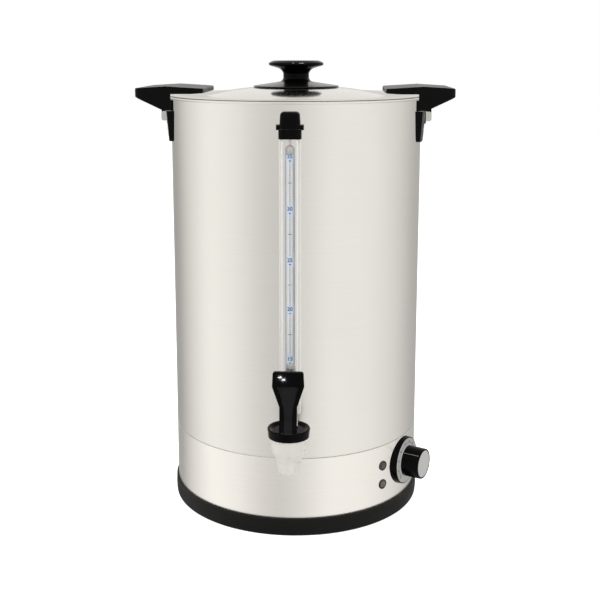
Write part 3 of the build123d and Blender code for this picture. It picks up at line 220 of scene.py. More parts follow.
def moulded(name, colour, roughness, grain_mm, grain_depth, specular=0.5, worn="#3A3A39", wear=0.25,
            **sockets):
    """Moulded plastic: a fine spark-eroded texture, faint flow clouds and slightly paler edges. The
    grain's width and depth are in millimetres."""
    plastic, tree, shader = new_material(name, colour, roughness, Specular_IOR_Level=specular, **sockets)
    grain = add(tree, "ShaderNodeTexNoise",
                {"Vector": object_place(tree, (MM / grain_mm,) * 3), "Scale": 1.0, "Detail": 2.0})
    clouds = add(tree, "ShaderNodeTexNoise",
                 {"Vector": object_place(tree, (MM / 25,) * 3), "Scale": 1.0, "Detail": 3.0})
    edge = add(tree, "ShaderNodeNewGeometry")
    rub = add(tree, "ShaderNodeMapRange",
              {"Value": edge.outputs["Pointiness"], "From Min": 0.52, "From Max": 0.62, "To Max": wear})
    patchy = add(tree, "ShaderNodeMath", {0: rub.outputs[0], 1: clouds.outputs["Fac"]},
                 operation="MULTIPLY")
    tone = add(tree, "ShaderNodeMix", {0: patchy.outputs[0], 6: linear(colour), 7: linear(worn)},
               data_type="RGBA")
    link(tree, tone.outputs[2], shader, "Base Color")
    rough = add(tree, "ShaderNodeMapRange",
                {"Value": clouds.outputs["Fac"], "From Min": 0.3, "From Max": 0.7,
                 "To Min": roughness * 0.88, "To Max": roughness * 1.12})
    link(tree, rough.outputs[0], shader, "Roughness")
    relief = add(tree, "ShaderNodeBump",
                 {"Strength": 0.3, "Distance": grain_depth / MM, "Height": grain.outputs["Fac"]})
    link(tree, relief.outputs["Normal"], shader, "Normal")
    return plastic


dress(moulded("matt_moulded_polypropylene", "#0F0F0E", 0.5, 0.6, 0.05, specular=0.12, worn="#2A2A29"),
      "base_ring")

# The zinc has set in flat crystals about 7 mm across, each a little paler or duller than the next.
zinc, tree, shader = new_material("zinc_plated_sheet", "#A9A8A2", 0.38, metallic=1.0)
spangle = add(tree, "ShaderNodeTexVoronoi", {"Vector": object_place(tree, (MM / 7,) * 3), "Scale": 1.0})
shade = add(tree, "ShaderNodeValToRGB", {"Fac": spangle.outputs["Distance"]},
            stops=[(0.0, linear("#B8B7B1")), (1.0, linear("#94938C"))])
link(tree, shade.outputs["Color"], shader, "Base Color")
rough = add(tree, "ShaderNodeMapRange",
            {"Value": spangle.outputs["Distance"], "To Min": 0.3, "To Max": 0.48})
link(tree, rough.outputs[0], shader, "Roughness")
dress(zinc, "base_plate")

STREAK_RUN = 60                  # cells to the metre along a polishing streak
SPOTS = (300, 300, 300)          # cells to the metre, for spots 3 mm across


def plated(name, colour, roughness, streak_mm=0.5):
    """Bright plated metal: faint polishing streaks and a few duller spots."""
    metal, tree, shader = new_material(name, colour, roughness, metallic=1.0)
    polish = object_place(tree, (MM / streak_mm, MM / streak_mm, STREAK_RUN))
    streaks = add(tree, "ShaderNodeTexNoise", {"Vector": polish, "Scale": 1.0, "Detail": 2.0})
    spots = add(tree, "ShaderNodeTexNoise", {"Vector": object_place(tree, SPOTS), "Scale": 1.0})
    both = add(tree, "ShaderNodeMath", {0: streaks.outputs["Fac"], 1: spots.outputs["Fac"]},
               operation="MULTIPLY")
    rough = add(tree, "ShaderNodeMapRange",
                {"Value": both.outputs[0], "From Min": 0.1, "From Max": 0.5,
                 "To Min": roughness * 0.8, "To Max": roughness * 1.5})
    link(tree, rough.outputs[0], shader, "Roughness")
    relief = add(tree, "ShaderNodeBump",
                 {"Strength": 0.08, "Distance": 0.00003, "Height": streaks.outputs["Fac"]})
    link(tree, relief.outputs["Normal"], shader, "Normal")
    return metal


nickel = plated("bright_nickel_plate", "#CFCECA", 0.16)
dress(nickel, "base_screws", "element_nuts", "thermostat_screws", "thermostat_shaft", "tap_shank_nut",
      "lever_pin", "tap_stem", "tap_spring", "gauge_cap_screw", "lid_knob_screw", "lid_knob_washer",
      "saddle_screws", "saddle_nuts", "hinge_bracket_right", "hinge_bracket_left",
      "hinge_pin_right", "hinge_pin_left")


def turned(name, profile, steps=32):
    """A turned shape about Z from its (radius, height) profile, which starts and ends on the axis."""
    turns = [2 * math.pi * i / steps for i in range(steps)]
    return skinned(name, [[(radius * math.cos(turn), radius * math.sin(turn), height)
                           for turn in (turns if radius else turns[:1])] for radius, height in profile])


def settled(holder, mesh_name):
    """The object's mesh with its modifiers worked in, as a plain mesh."""
    bpy.context.view_layer.update()
    graph = bpy.context.evaluated_depsgraph_get()
    mesh = bpy.data.meshes.new_from_object(holder.evaluated_get(graph))
    mesh.name = mesh_name
    return mesh


def cross_recess(screw, span, wide, deep, top):
    """Cuts a cross into the end of a screw's head, which lies at the height top."""
    cutter_mesh = bpy.data.meshes.new("recess")
    shape = bmesh.new()
    for long, short in ((span, wide), (wide, span)):
        box = bmesh.ops.create_cube(shape, size=1.0)["verts"]
        bmesh.ops.scale(shape, verts=box, vec=(long, short, 2 * deep))
        bmesh.ops.translate(shape, verts=box, vec=(0, 0, top))
    shape.to_mesh(cutter_mesh)
    shape.free()
    cutter = in_scene("recess", cutter_mesh)
    cut = screw.modifiers.new("recess", "BOOLEAN")
    cut.operation = "DIFFERENCE"
    cut.solver = "EXACT"
    cut.use_self = True
    cut.object = cutter
    screw.data = settled(screw, screw.name)
    screw.modifiers.clear()
    bpy.data.objects.remove(cutter)


def copies_tree():
    """Copies of one shape in groups, each a step of angle and of height from the last."""
    tree = bpy.data.node_groups.new("copies_round_and_up", "GeometryNodeTree")
    tree.interface.new_socket("Geometry", in_out="OUTPUT", socket_type="NodeSocketGeometry")
    sockets = {}
    for label, kind in (("Shape", "Object"), ("Finish", "Material"), ("Count", "Int"), ("In Group", "Int"),
                        ("Radius", "Float"), ("First Angle", "Float"), ("Angle Step", "Float"),
                        ("Angle Gap", "Float"), ("First Height", "Float"), ("Height Step", "Float"),
                        ("Height Gap", "Float")):
        made = tree.interface.new_socket(label, in_out="INPUT", socket_type="NodeSocket" + kind)
        sockets[label] = made.identifier
    given = tree.nodes.new("NodeGroupInput").outputs
    # A copy's group is its number over the group's size, and what is left over is its place there.
    index = add(tree, "GeometryNodeInputIndex")
    ratio = add(tree, "ShaderNodeMath", {0: index.outputs[0], 1: given["In Group"]}, operation="DIVIDE")
    group = add(tree, "ShaderNodeMath", {0: ratio.outputs[0]}, operation="FLOOR")
    before = add(tree, "ShaderNodeMath", {0: group.outputs[0], 1: given["In Group"]}, operation="MULTIPLY")
    place = add(tree, "ShaderNodeMath", {0: index.outputs[0], 1: before.outputs[0]}, operation="SUBTRACT")
    at = {}
    for label in ("Angle", "Height"):
        stepped = add(tree, "ShaderNodeMath", {0: place.outputs[0], 1: given[label + " Step"],
                                               2: given["First " + label]}, operation="MULTIPLY_ADD")
        at[label] = add(tree, "ShaderNodeMath", {0: group.outputs[0], 1: given[label + " Gap"],
                                                 2: stepped.outputs[0]}, operation="MULTIPLY_ADD").outputs[0]
    spot = add(tree, "ShaderNodeCombineXYZ", {"Z": at["Height"]})
    for axis, kind in (("X", "COSINE"), ("Y", "SINE")):
        share = add(tree, "ShaderNodeMath", {0: at["Angle"]}, operation=kind)
        reach = add(tree, "ShaderNodeMath", {0: share.outputs[0], 1: given["Radius"]}, operation="MULTIPLY")
        link(tree, reach.outputs[0], spot, axis)
    points = add(tree, "GeometryNodePoints", {"Count": given["Count"], "Position": spot.outputs[0]})
    shape = add(tree, "GeometryNodeObjectInfo", {"Object": given["Shape"]})
    facing = add(tree, "ShaderNodeCombineXYZ", {"Z": at["Angle"]})
    placed = add(tree, "GeometryNodeInstanceOnPoints",
                 {"Points": points.outputs[0], "Instance": shape.outputs["Geometry"],
                  "Rotation": facing.outputs[0]})
    whole = add(tree, "GeometryNodeRealizeInstances", {"Geometry": placed.outputs[0]})
    coated = add(tree, "GeometryNodeSetMaterial", {"Geometry": whole.outputs[0], "Material": given["Finish"]})
    add(tree, "NodeGroupOutput", {"Geometry": coated.outputs[0]})
    return tree, sockets


copies_group, copies_sockets = copies_tree()


def copies(name, shape, finish, count, in_group, **values):
    """A plain mesh of the shape's copies. Angles are in degrees, and lengths in metres."""
    holder = in_scene(name, bpy.data.meshes.new(name))
    modifier = holder.modifiers.new("copies", "NODES")
    modifier.node_group = copies_group
    modifier[copies_sockets["Shape"]] = shape
    modifier[copies_sockets["Finish"]] = finish
    modifier[copies_sockets["Count"]] = count
    modifier[copies_sockets["In Group"]] = in_group
    for label, value in values.items():
        label = label.replace("_", " ").title()
        modifier[copies_sockets[label]] = float(math.radians(value) if "Angle" in label else value)
    mesh = settled(holder, name)
    mesh.materials.clear()
    mesh.materials.append(finish)
    mesh.polygons.foreach_set("material_index", [0] * len(mesh.polygons))
    holder.modifiers.clear()
    holder.data = mesh
    bpy.data.objects.remove(shape)
    return holder


# Base screws: 4 mm cross-head screws, driven up through the plate and the ring's bosses.
SCREW_RING = 0.1548              # from the tank's axis to each screw's
HEAD_R, HEAD_HIGH, SHANK_R = 0.004, 0.0021, 0.002
low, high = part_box("base_screws")
neck = low.z + HEAD_HIGH
screw = turned("screw", [(0, low.z), (0.0024, low.z), (0.0035, low.z + 0.0005), (HEAD_R, low.z + 0.0012),
                         (HEAD_R, neck), (SHANK_R, neck), (SHANK_R, high.z - 0.0008), (0.0013, high.z),
                         (0, high.z)])
cross_recess(screw, span=0.0042, wide=0.0011, deep=0.0012, top=low.z)
base_heads = copies("base_screw_heads", screw, nickel, count=6, in_group=6, radius=SCREW_RING,
                    first_angle=30, angle_step=60)
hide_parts("base_screws")
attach(base_heads, "urn")

# ------------------------------------------------------------------ heating element and controls inside
# The element is a stainless tube with a dull, heat-tinted skin; its legs pass silicone gaskets.
# The cut-out, thermostat and terminal block are moulded in pale phenolic, and the gland in nylon.
HEAT_PATCHES = (30, 30, 30)      # cells to the metre: straw, brown and blue-grey each 33 mm
element_steel, tree, shader = new_material("heat_tinted_stainless_tube", "#8B857C", 0.42, metallic=1.0)
tint = add(tree, "ShaderNodeTexNoise",
           {"Vector": object_place(tree, HEAT_PATCHES), "Scale": 1.0, "Detail": 3.0})
shade = add(tree, "ShaderNodeValToRGB", {"Fac": tint.outputs["Fac"]},
            stops=[(0.3, linear("#9A948A")), (0.55, linear("#86796A")), (0.75, linear("#6F6A70"))])
link(tree, shade.outputs["Color"], shader, "Base Color")
dress(element_steel, "heating_element")

dress(moulded("cast_silicone_rubber", "#D8D6D0", 0.55, 0.5, 0.02, worn="#E4E2DD", wear=0.3,
              Subsurface_Weight=0.3, Subsurface_Scale=0.002),
      "element_gaskets", "tap_washers", "seat_cup", "gauge_seals")
dress(moulded("moulded_grey_phenolic", "#B4B0A6", 0.48, 0.7, 0.03, worn="#C6C2B8"),
      "boil_dry_cutout", "terminal_block", "thermostat_body")
dress(plated("drawn_copper", "#C4866A", 0.26, streak_mm=0.8), "thermostat_bulb")
dress(moulded("moulded_black_nylon", "#131313", 0.36, 0.4, 0.02, specular=0.3), "cord_gland", "gland_nut")

# ------------------------------------------------------------------ thermostat dial and knob
# A glossy black ABS bezel holds a satin anodised plate with printed graduations. The knob is the same ABS,
# with a painted highlight, a fine grey line, down its side and a turned aluminium cap on its end.
dress(moulded("glossy_moulded_abs", "#040404", 0.13, 1.2, 0.006, specular=0.05, worn="#161616"),
      "dial_bezel", "control_knob")


def not_mirrored(*names):
    """The satin steel is too dull to show images of these pieces, which are lit and seen as before."""
    for name in names:
        nodes[name].visible_glossy = False


not_mirrored("dial_bezel", "control_knob", "dial_plate", "knob_cap", "thermostat_shaft")

DIAL = math.radians(61.0)        # the dial's bearing, from the front towards the right
DIAL_Z = 0.0692                  # the knob's axis, above the floor
dial_out = Vector((math.sin(DIAL), -math.cos(DIAL), 0.0))
dial_across = Vector((math.cos(DIAL), math.sin(DIAL), 0.0))


def turned_aluminium(name, colour, roughness, ring_mm):
    """Aluminium with fine lathe rings about the knob's axis."""
    metal, tree, shader = new_material(name, colour, roughness, metallic=1.0)
    centre = add(tree, "ShaderNodeSeparateXYZ", {"Vector": object_place(tree, turn=(0, 0, -DIAL))})
    up = add(tree, "ShaderNodeMath", {0: centre.outputs["Z"], 1: DIAL_Z}, operation="SUBTRACT")
    flat = add(tree, "ShaderNodeCombineXYZ", {"X": centre.outputs["X"], "Y": up.outputs[0]})
    reach = add(tree, "ShaderNodeVectorMath", {0: flat.outputs[0]}, operation="LENGTH")
    along = add(tree, "ShaderNodeMath", {0: reach.outputs["Value"], 1: MM / ring_mm}, operation="MULTIPLY")
    rings = add(tree, "ShaderNodeTexNoise", {"W": along.outputs[0], "Scale": 1.0, "Detail": 2.0},
                noise_dimensions="1D")
    relief = add(tree, "ShaderNodeBump",
                 {"Strength": 0.35, "Distance": 0.00005, "Height": rings.outputs["Fac"]})
    link(tree, relief.outputs["Normal"], shader, "Normal")
    rough = add(tree, "ShaderNodeMapRange",
                {"Value": rings.outputs["Fac"], "From Min": 0.3, "From Max": 0.7,
                 "To Min": roughness - 0.06, "To Max": roughness + 0.06})
    link(tree, rough.outputs[0], shader, "Roughness")
    return metal


dress(turned_aluminium("satin_anodised_dial", "#C4C3C2", 0.16, 0.5), "dial_plate")
dress(turned_aluminium("turned_aluminium_cap", "#E0E0DF", 0.34, 0.35), "knob_cap")


def printed(name, colour, dark, light, grit_mm, roughness=0.4, low=0.3, **sockets):
    """Printed ink or inlaid paint: a flat colour that the grit of the coat breaks up a little."""
    coat, tree, shader = new_material(name, colour, roughness, **sockets)
    grit = add(tree, "ShaderNodeTexNoise",
               {"Vector": object_place(tree, (MM / grit_mm,) * 3), "Scale": 1.0})
    shade = add(tree, "ShaderNodeValToRGB", {"Fac": grit.outputs["Fac"]},
                stops=[(low, linear(dark)), (0.7, linear(light))])
    link(tree, shade.outputs["Color"], shader, "Base Color")
    return coat


# Graduations round the plate: one long mark each 30 degrees and three short ones between.
DIAL_FACE = 0.1697               # the plate's front, out from the tank's axis
INK_FOOT, INK_TOP = 0.00003, 0.00011    # out from the plate's front
dial_ink = printed("screen_printed_black_ink", "#121212", "#0E0E0E", "#242424", 0.3, 0.45, 0.35,
                   Specular_IOR_Level=0.3)
to_dial = Matrix.Translation(dial_out * DIAL_FACE + Vector((0, 0, DIAL_Z))) @ Matrix(
    (dial_across, Vector((0, 0, 1)), dial_out)).transposed().to_4x4()
for name, half_long, half_wide, count, in_group, radius, first, step, gap in (
        ("dial_long_marks", 0.0019, 0.0005, 10, 10, 0.0244, -45, 30, 0),
        ("dial_short_marks", 0.0010, 0.00026, 27, 3, 0.0235, -37.5, 7.5, 30)):
    bar = skinned("mark", [[(-half_long, -half_wide, z), (half_long, -half_wide, z),
                            (half_long, half_wide, z), (-half_long, half_wide, z)]
                           for z in (INK_FOOT, INK_TOP)])
    marks = copies(name, bar, dial_ink, count, in_group, radius=radius, first_angle=first,
                   angle_step=step, angle_gap=gap)
    marks.data.transform(to_dial)
    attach(marks, "urn")

# A painted highlight: a fine grey line down the side of the knob, where its edge catches light, which tapers
# a little to its end.
KNOB_FOOT, KNOB_LONG = 0.1707, 0.0233
KNOB_R, KNOB_TAPER = 0.0201, 0.0005
LINE_FROM, LINE_TO = 0.1712, 0.1926     # out from the tank's axis
LINE_HALF, LINE_PROUD = 0.0004, 0.00006
LINE_TURN = math.radians(132)    # round the knob, from its right
LINE_STEPS = 8


def mesh_piece(name, vertices, faces, material):
    """A new piece from its points and faces, which lie where the frame has them."""
    mesh = bpy.data.meshes.new(name)
    mesh.from_pydata([tuple(v) for v in vertices], [], faces)
    mesh.materials.append(material)
    return in_scene(name, mesh)


vertices = []
for i in range(LINE_STEPS + 1):
    out = LINE_FROM + (LINE_TO - LINE_FROM) * i / LINE_STEPS
    radius = KNOB_R - KNOB_TAPER * (out - KNOB_FOOT) / KNOB_LONG + LINE_PROUD
    for side in (-1, 1):
        turn = LINE_TURN + side * LINE_HALF / radius
        up = Vector((0, 0, DIAL_Z + radius * math.sin(turn)))
        vertices.append(dial_across * (radius * math.cos(turn)) + up + dial_out * out)
faces = [[2 * i, 2 * i + 1, 2 * i + 3, 2 * i + 2] for i in range(LINE_STEPS)]
painted_highlight_line = mesh_piece("knob_pointer_line", vertices, faces,
                     printed("grey_inlay_paint", "#6E6E6C", "#626260", "#7C7C7A", 0.5))
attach(painted_highlight_line, "thermostat_knob")

# ------------------------------------------------------------------ indicator lamps
# Snap-in neon lamps: a dark rim and a moulded, translucent dark red or amber lens with a ribbed
# inner face that catches light unevenly.


def lens(name, colour, deep):
    """Moulded lens: glossy in front, with ribs 1.6 mm apart that darken towards their edges."""
    glass, tree, shader = new_material(name, colour, 0.12, IOR=1.49, Coat_Weight=0.4, Coat_Roughness=0.05)
    ribs = add(tree, "ShaderNodeTexVoronoi", {"Vector": object_place(tree, (MM / 1.6,) * 3), "Scale": 1.0})
    shade = add(tree, "ShaderNodeValToRGB", {"Fac": ribs.outputs["Distance"]},
                stops=[(0.15, linear(colour)), (0.8, linear(deep))])
    link(tree, shade.outputs["Color"], shader, "Base Color")
    relief = add(tree, "ShaderNodeBump",
                 {"Strength": 0.4, "Distance": 0.0002, "Height": ribs.outputs["Distance"]})
    link(tree, relief.outputs["Normal"], shader, "Normal")
    return glass


dress(lens("moulded_dark_red_lens", "#5A2A30", "#241014"), "lamp_lens_heating")
dress(lens("moulded_amber_lens", "#7C6E58", "#3A3022"), "lamp_lens_warm")
dress(moulded("dark_bronze_nylon_rim", "#2B2520", 0.3, 0.4, 0.02, specular=0.4), "lamp_holders")

# ------------------------------------------------------------------ tap
# The body and spout are one milky polypropylene moulding. The bonnet and lever are glossy black
# ABS; the lever's front has a shallow, slightly paler matt panel that narrows into its neck.
dress(moulded("milky_moulded_polypropylene", "#DCD8D1", 0.3, 1.5, 0.01, specular=0.45, worn="#EFEAE3",
              wear=0.3, Subsurface_Weight=0.25, Subsurface_Scale=0.004, Subsurface_Radius=(1.0, 0.9, 0.8)),
      "tap_body", "tap_shank")
dress(moulded("glossy_black_tap_abs", "#040404", 0.12, 1.4, 0.006, specular=0.05, worn="#161616"),
      "tap_bonnet", "gauge_socket")
not_mirrored("tap_bonnet", "tap_lever", "gauge_socket")

# The lever's mould is polished, so it shines more than the bonnet, all but on its panel. The panel
# widens slowly up the neck, faster up the blade above it, and ends just under the blade's top.
NECK_FROM, NECK_TO, BLADE_TOP = 0.1750, 0.189, 0.2146
NECK_HALF, WAIST_HALF, BLADE_GROWTH = 0.0046, 0.0056, 0.0063
TOP_EDGE = 0.00005
PANEL_FRONT = -0.2195            # it lies in front of this Y
lever_plastic = moulded("glossy_black_lever_abs", "#040404", 0.035, 1.4, 0.0006, specular=0.05,
                        worn="#161616")
tree = lever_plastic.node_tree
shader = tree.nodes["Principled BSDF"]
place = add(tree, "ShaderNodeSeparateXYZ", {"Vector": object_place(tree)})
neck = add(tree, "ShaderNodeMapRange", {"Value": place.outputs["Z"], "From Min": NECK_FROM,
                                        "From Max": NECK_TO, "To Min": NECK_HALF, "To Max": WAIST_HALF})
blade = add(tree, "ShaderNodeMapRange", {"Value": place.outputs["Z"], "From Min": NECK_TO,
                                         "From Max": BLADE_TOP, "To Max": BLADE_GROWTH})
half = add(tree, "ShaderNodeMath", {0: neck.outputs[0], 1: blade.outputs[0]}, operation="ADD")
off = add(tree, "ShaderNodeMath", {0: place.outputs["X"]}, operation="ABSOLUTE")
inside = add(tree, "ShaderNodeMath", {0: off.outputs[0], 1: half.outputs[0]}, operation="LESS_THAN")
under = add(tree, "ShaderNodeMath", {0: place.outputs["Z"], 1: BLADE_TOP - TOP_EDGE}, operation="LESS_THAN")
facing = add(tree, "ShaderNodeMath", {0: place.outputs["Y"], 1: PANEL_FRONT}, operation="LESS_THAN")
panel = add(tree, "ShaderNodeMath", {0: inside.outputs[0], 1: under.outputs[0]}, operation="MULTIPLY")
panel = add(tree, "ShaderNodeMath", {0: panel.outputs[0], 1: facing.outputs[0]}, operation="MULTIPLY")
around_panel = shader.inputs["Base Color"].links[0].from_socket
tone = add(tree, "ShaderNodeMix", {0: panel.outputs[0], 6: around_panel, 7: linear("#1D1D1D")},
           data_type="RGBA")
link(tree, tone.outputs[2], shader, "Base Color")
around_panel = shader.inputs["Roughness"].links[0].from_socket
matt = add(tree, "ShaderNodeMix", {0: panel.outputs[0], 2: around_panel, 3: 0.55}, data_type="FLOAT")
link(tree, matt.outputs[0], shader, "Roughness")
dress(lever_plastic, "tap_lever")

# Return spring: stainless music wire, wound to the left with closed ends, held between the stem's shoulder
# and the bonnet. It has one closed turn at each end.
WIRE_R = 0.0006
TURNS, OPEN_TURNS = 7.0, 5.0
OPEN_SHARE = 0.9                 # of the climb, which the open turns make by themselves
SPRING_STEPS, WIRE_STEPS = 150, 10
low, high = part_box("tap_spring")
spring_middle = (low + high) / 2
stations = []
for share in (i / SPRING_STEPS for i in range(SPRING_STEPS + 1)):
    opened = min(max((share * TURNS - 1.0) / OPEN_TURNS, 0.0), 1.0)
    climb = opened * OPEN_SHARE + share * (1 - OPEN_SHARE)
    height = low.z + (high.z - low.z - 2 * WIRE_R) * climb + WIRE_R
    stations.append((2 * math.pi * TURNS * share, height))
spring = wound_wire("tap_return_spring", spring_middle, (high.x - low.x) / 2 - WIRE_R, stations,
                    WIRE_R, WIRE_STEPS, nickel)
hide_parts("tap_spring")
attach(spring, "urn")
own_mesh(spring)

# ------------------------------------------------------------------ sight gauge
# A clear polycarbonate channel guards a clear sight tube. Its front is all but invisible. Its walls that face
# sideways are painted pale and nearly opaque, as painted highlights for the light that they carry, so they
# show as two pale upright lines, with a painted darker line where they round into the front. The cap is satin
# black ABS.


def clear_plastic(name, colours, covers, roughness, ior, painted_edge_light=False):
    """See-through plastic whose colour and cover change from 0 to 1: from face-on to edge-on, or, with
    painted edge light, from the wall that faces front or back to the walls that face sideways, which carry
    painted highlights and a painted darker line."""
    made, tree, shader = new_material(name, "#FFFFFF", roughness, IOR=ior, Alpha=0.3)
    if painted_edge_light:
        facing = add(tree, "ShaderNodeTexCoord").outputs["Normal"]
        sideways = add(tree, "ShaderNodeSeparateXYZ", {"Vector": facing}).outputs["X"]
        share = add(tree, "ShaderNodeMath", {0: sideways}, operation="ABSOLUTE").outputs[0]
    else:
        share = add(tree, "ShaderNodeLayerWeight", {"Blend": 0.5}).outputs["Facing"]
    tint = add(tree, "ShaderNodeValToRGB", {"Fac": share}, stops=[(at, linear(code)) for at, code in colours])
    cover = add(tree, "ShaderNodeValToRGB", {"Fac": share}, stops=[(at, (v, v, v, 1)) for at, v in covers])
    specks = add(tree, "ShaderNodeTexNoise",
                 {"Vector": object_place(tree, (MM / 6, MM / 6, MM / 60)), "Scale": 1.0})
    haze = add(tree, "ShaderNodeMapRange", {"Value": specks.outputs["Fac"], "From Min": 0.3, "From Max": 0.7,
                                            "To Min": 0.97, "To Max": 1.03})
    veil = add(tree, "ShaderNodeMath", {0: cover.outputs["Color"], 1: haze.outputs[0]}, operation="MULTIPLY")
    link(tree, tint.outputs["Color"], shader, "Base Color")
    link(tree, veil.outputs[0], shader, "Alpha")
    return made


# The guard's sideways walls are painted pale and opaque, with a darker line where they meet the front:
# painted highlights and painted shade.
dress(clear_plastic("clear_extruded_polycarbonate",
                    [(0.0, "#F4F4F2"), (0.4, "#F8F7F4"), (0.75, "#D3D1CC"), (1.0, "#F8F7F4")],
                    [(0.0, 0.01), (0.15, 0.02), (0.38, 0.60), (1.0, 0.75)], 0.08, 1.58,
                    painted_edge_light=True), "gauge_guard")
# Towards edge-on, the tube's colour turns a darker blue-grey and its cover thickens. This is painted
# refraction and shade at its edges and on the top of its dome.
dress(clear_plastic("clear_drawn_tube",
                    [(0.0, "#8C95A3"), (0.5, "#B4BCC8"), (0.85, "#66748A")],
                    [(0.0, 0.05), (0.25, 0.10), (0.5, 0.34), (0.8, 0.8)], 0.06, 1.49), "gauge_tube")
dress(moulded("satin_black_cap_abs", "#060606", 0.3, 0.5, 0.015, specular=0.05, worn="#141414"),
      "gauge_top_cap")
not_mirrored("gauge_guard", "gauge_tube", "gauge_scale", "gauge_top_cap")

# The film is frosted, so that the marks stand on a pale ground. The tube's looks are painted on it: a
# blue-grey edge each side for the tube's wall and a greyer line up the middle for the narrow bore, as painted
# refraction and shade, and its right half is painted a little darker than its left, as painted shade. There
# is a blue cast round each number.
FILM_HALF = 0.0055
LABELS = [(35, 0.4760), (30, 0.4148), (25, 0.3537), (20, 0.2945), (15, 0.2333)]
CAST_DROP = 0.001                # the cast's middle, under the number's
CAST_NEAR, CAST_FAR = 0.002, 0.012      # it is full up to the first, and gone at the second
film, tree, shader = new_material("frosted_polyester_film", "#EEF0F0", 0.35, IOR=1.5)
place = add(tree, "ShaderNodeSeparateXYZ", {"Vector": object_place(tree)})
across = add(tree, "ShaderNodeMapRange",
             {"Value": place.outputs["X"], "From Min": -FILM_HALF, "From Max": FILM_HALF})
ground = add(tree, "ShaderNodeValToRGB", {"Fac": across.outputs[0]},
             stops=[(at, linear(code)) for at, code in (
                 (0.03, "#9CA8B9"), (0.13, "#DCDFE2"), (0.36, "#E0E2E2"), (0.46, "#BEC1C4"),
                 (0.56, "#BEC1C4"), (0.66, "#DADCDC"), (0.84, "#C8CDD2"), (0.97, "#909CAD"))])
cast = None
for _, height in LABELS:
    off = add(tree, "ShaderNodeMath", {0: place.outputs["Z"], 1: height - CAST_DROP}, operation="SUBTRACT")
    size = add(tree, "ShaderNodeMath", {0: off.outputs[0]}, operation="ABSOLUTE")
    near = add(tree, "ShaderNodeMapRange", {"Value": size.outputs[0], "From Min": CAST_NEAR,
                                            "From Max": CAST_FAR, "To Min": 0.6, "To Max": 0.0})
    cast = near if cast is None else add(tree, "ShaderNodeMath", {0: cast.outputs[0], 1: near.outputs[0]},
                                         operation="MAXIMUM")
shade = add(tree, "ShaderNodeMix", {0: cast.outputs[0], 6: ground.outputs["Color"], 7: linear("#CFDCEE")},
            data_type="RGBA")
link(tree, shade.outputs[2], shader, "Base Color")
dress(film, "gauge_scale")

# The printed marks: digits each 5 litres, a dash each 2.5 and a dot each quarter litre, all in plain
# ink, laid on the film's round front.
blue_ink = printed("printed_blue_ink", "#12508E", "#12508E", "#1F66A4", 0.4)
grey_ink = printed("printed_grey_ink", "#2E3238", "#2E3238", "#41454B", 0.4)

GAUGE_Y = -0.171                 # the tube's axis
INK_HALF = 0.00003               # half the ink's thickness
STRIP = 0.0004                   # width of the strips that let a flat mark bend round the film
STRIPS = 11                      # each side of the middle
film_r = GAUGE_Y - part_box("gauge_scale")[0].y
print_r = film_r + 3 * INK_HALF  # to the middle of the ink, which just clears the film


def wrapped(mesh, height):
    """Cuts a flat solid into narrow upright strips and lays it round the film's front."""
    shape = bmesh.new()
    shape.from_mesh(mesh)
    bmesh.ops.remove_doubles(shape, verts=shape.verts, dist=1e-7)
    for step in range(-STRIPS, STRIPS + 1):
        bmesh.ops.bisect_plane(shape, geom=shape.verts[:] + shape.edges[:] + shape.faces[:],
                               plane_co=(step * STRIP, 0, 0), plane_no=(1, 0, 0))
    for vertex in shape.verts:
        x, y, out = vertex.co
        turn, radius = x / print_r, print_r + out
        vertex.co = radius * math.sin(turn), GAUGE_Y - radius * math.cos(turn), height + y
    bmesh.ops.recalc_face_normals(shape, faces=shape.faces)
    shape.to_mesh(mesh)
    shape.free()
    return mesh


def lying_on_film(name, half_wide, half_high, corners):
    """One printed mark on the film's front, at height nought: an oval, or with 4 corners a bar."""
    reach = math.sqrt(2) if corners == 4 else 1.0
    turns = [2 * math.pi * (i + 0.5) / corners for i in range(corners)]
    flat = skinned(name, [[(reach * half_wide * math.cos(a), reach * half_high * math.sin(a), z)
                           for a in turns] for z in (-INK_HALF, INK_HALF)])
    wrapped(flat.data, 0.0)
    return flat


# Eight dots stand above each number's dash, and eight above the dash between two numbers.
LITRE = 0.01223
LABEL_STEP = 4.96 * LITRE        # the numbers stand slightly under five litres apart
DOT_HALF_WIDE, DOT_HALF_HIGH, DOT_CORNERS = 0.00046, 0.00042, 10
DASH_HALF_WIDE, DASH_HALF_HIGH = 0.0020, 0.0004
LOW_DOTS, HIGH_DOTS = 0.0052, 0.0327    # the first dot of each eight, above the number
lowest = LABELS[-1][1]
for name, first in (("gauge_dots_low", lowest + LOW_DOTS), ("gauge_dots_high", lowest + HIGH_DOTS)):
    dot = lying_on_film("dot", DOT_HALF_WIDE, DOT_HALF_HIGH, DOT_CORNERS)
    dots = copies(name, dot, grey_ink, count=32, in_group=8, first_height=first,
                  height_step=LITRE / 4, height_gap=LABEL_STEP)
    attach(dots, "urn")
dash = lying_on_film("dash", DASH_HALF_WIDE, DASH_HALF_HIGH, corners=4)
dashes = copies("gauge_dashes", dash, grey_ink, count=4, in_group=4,
                first_height=lowest + 2.5 * LITRE - DASH_HALF_HIGH, height_step=LABEL_STEP)
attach(dashes, "urn")

# Each number stands over a short dash of its own, the line that it reads.
NUMBER_SIZE, SIGN_SIZE, SIGN_DROP = 0.0066, 0.0092, 0.0042
STROKE = 0.00018                 # added to each side of a digit's stroke


def flat_text(words, size):
    """A word as a thin flat solid, centred on its own middle."""
    curve = bpy.data.curves.new("digits", "FONT")
    curve.body = words
    curve.size = size
    curve.align_x = "CENTER"
    curve.align_y = "CENTER"
    curve.resolution_u = 4
    curve.offset = STROKE
    curve.extrude = INK_HALF
    holder = in_scene("digits", curve)
    mesh = settled(holder, "digits")
    bpy.data.objects.remove(holder)
    return mesh


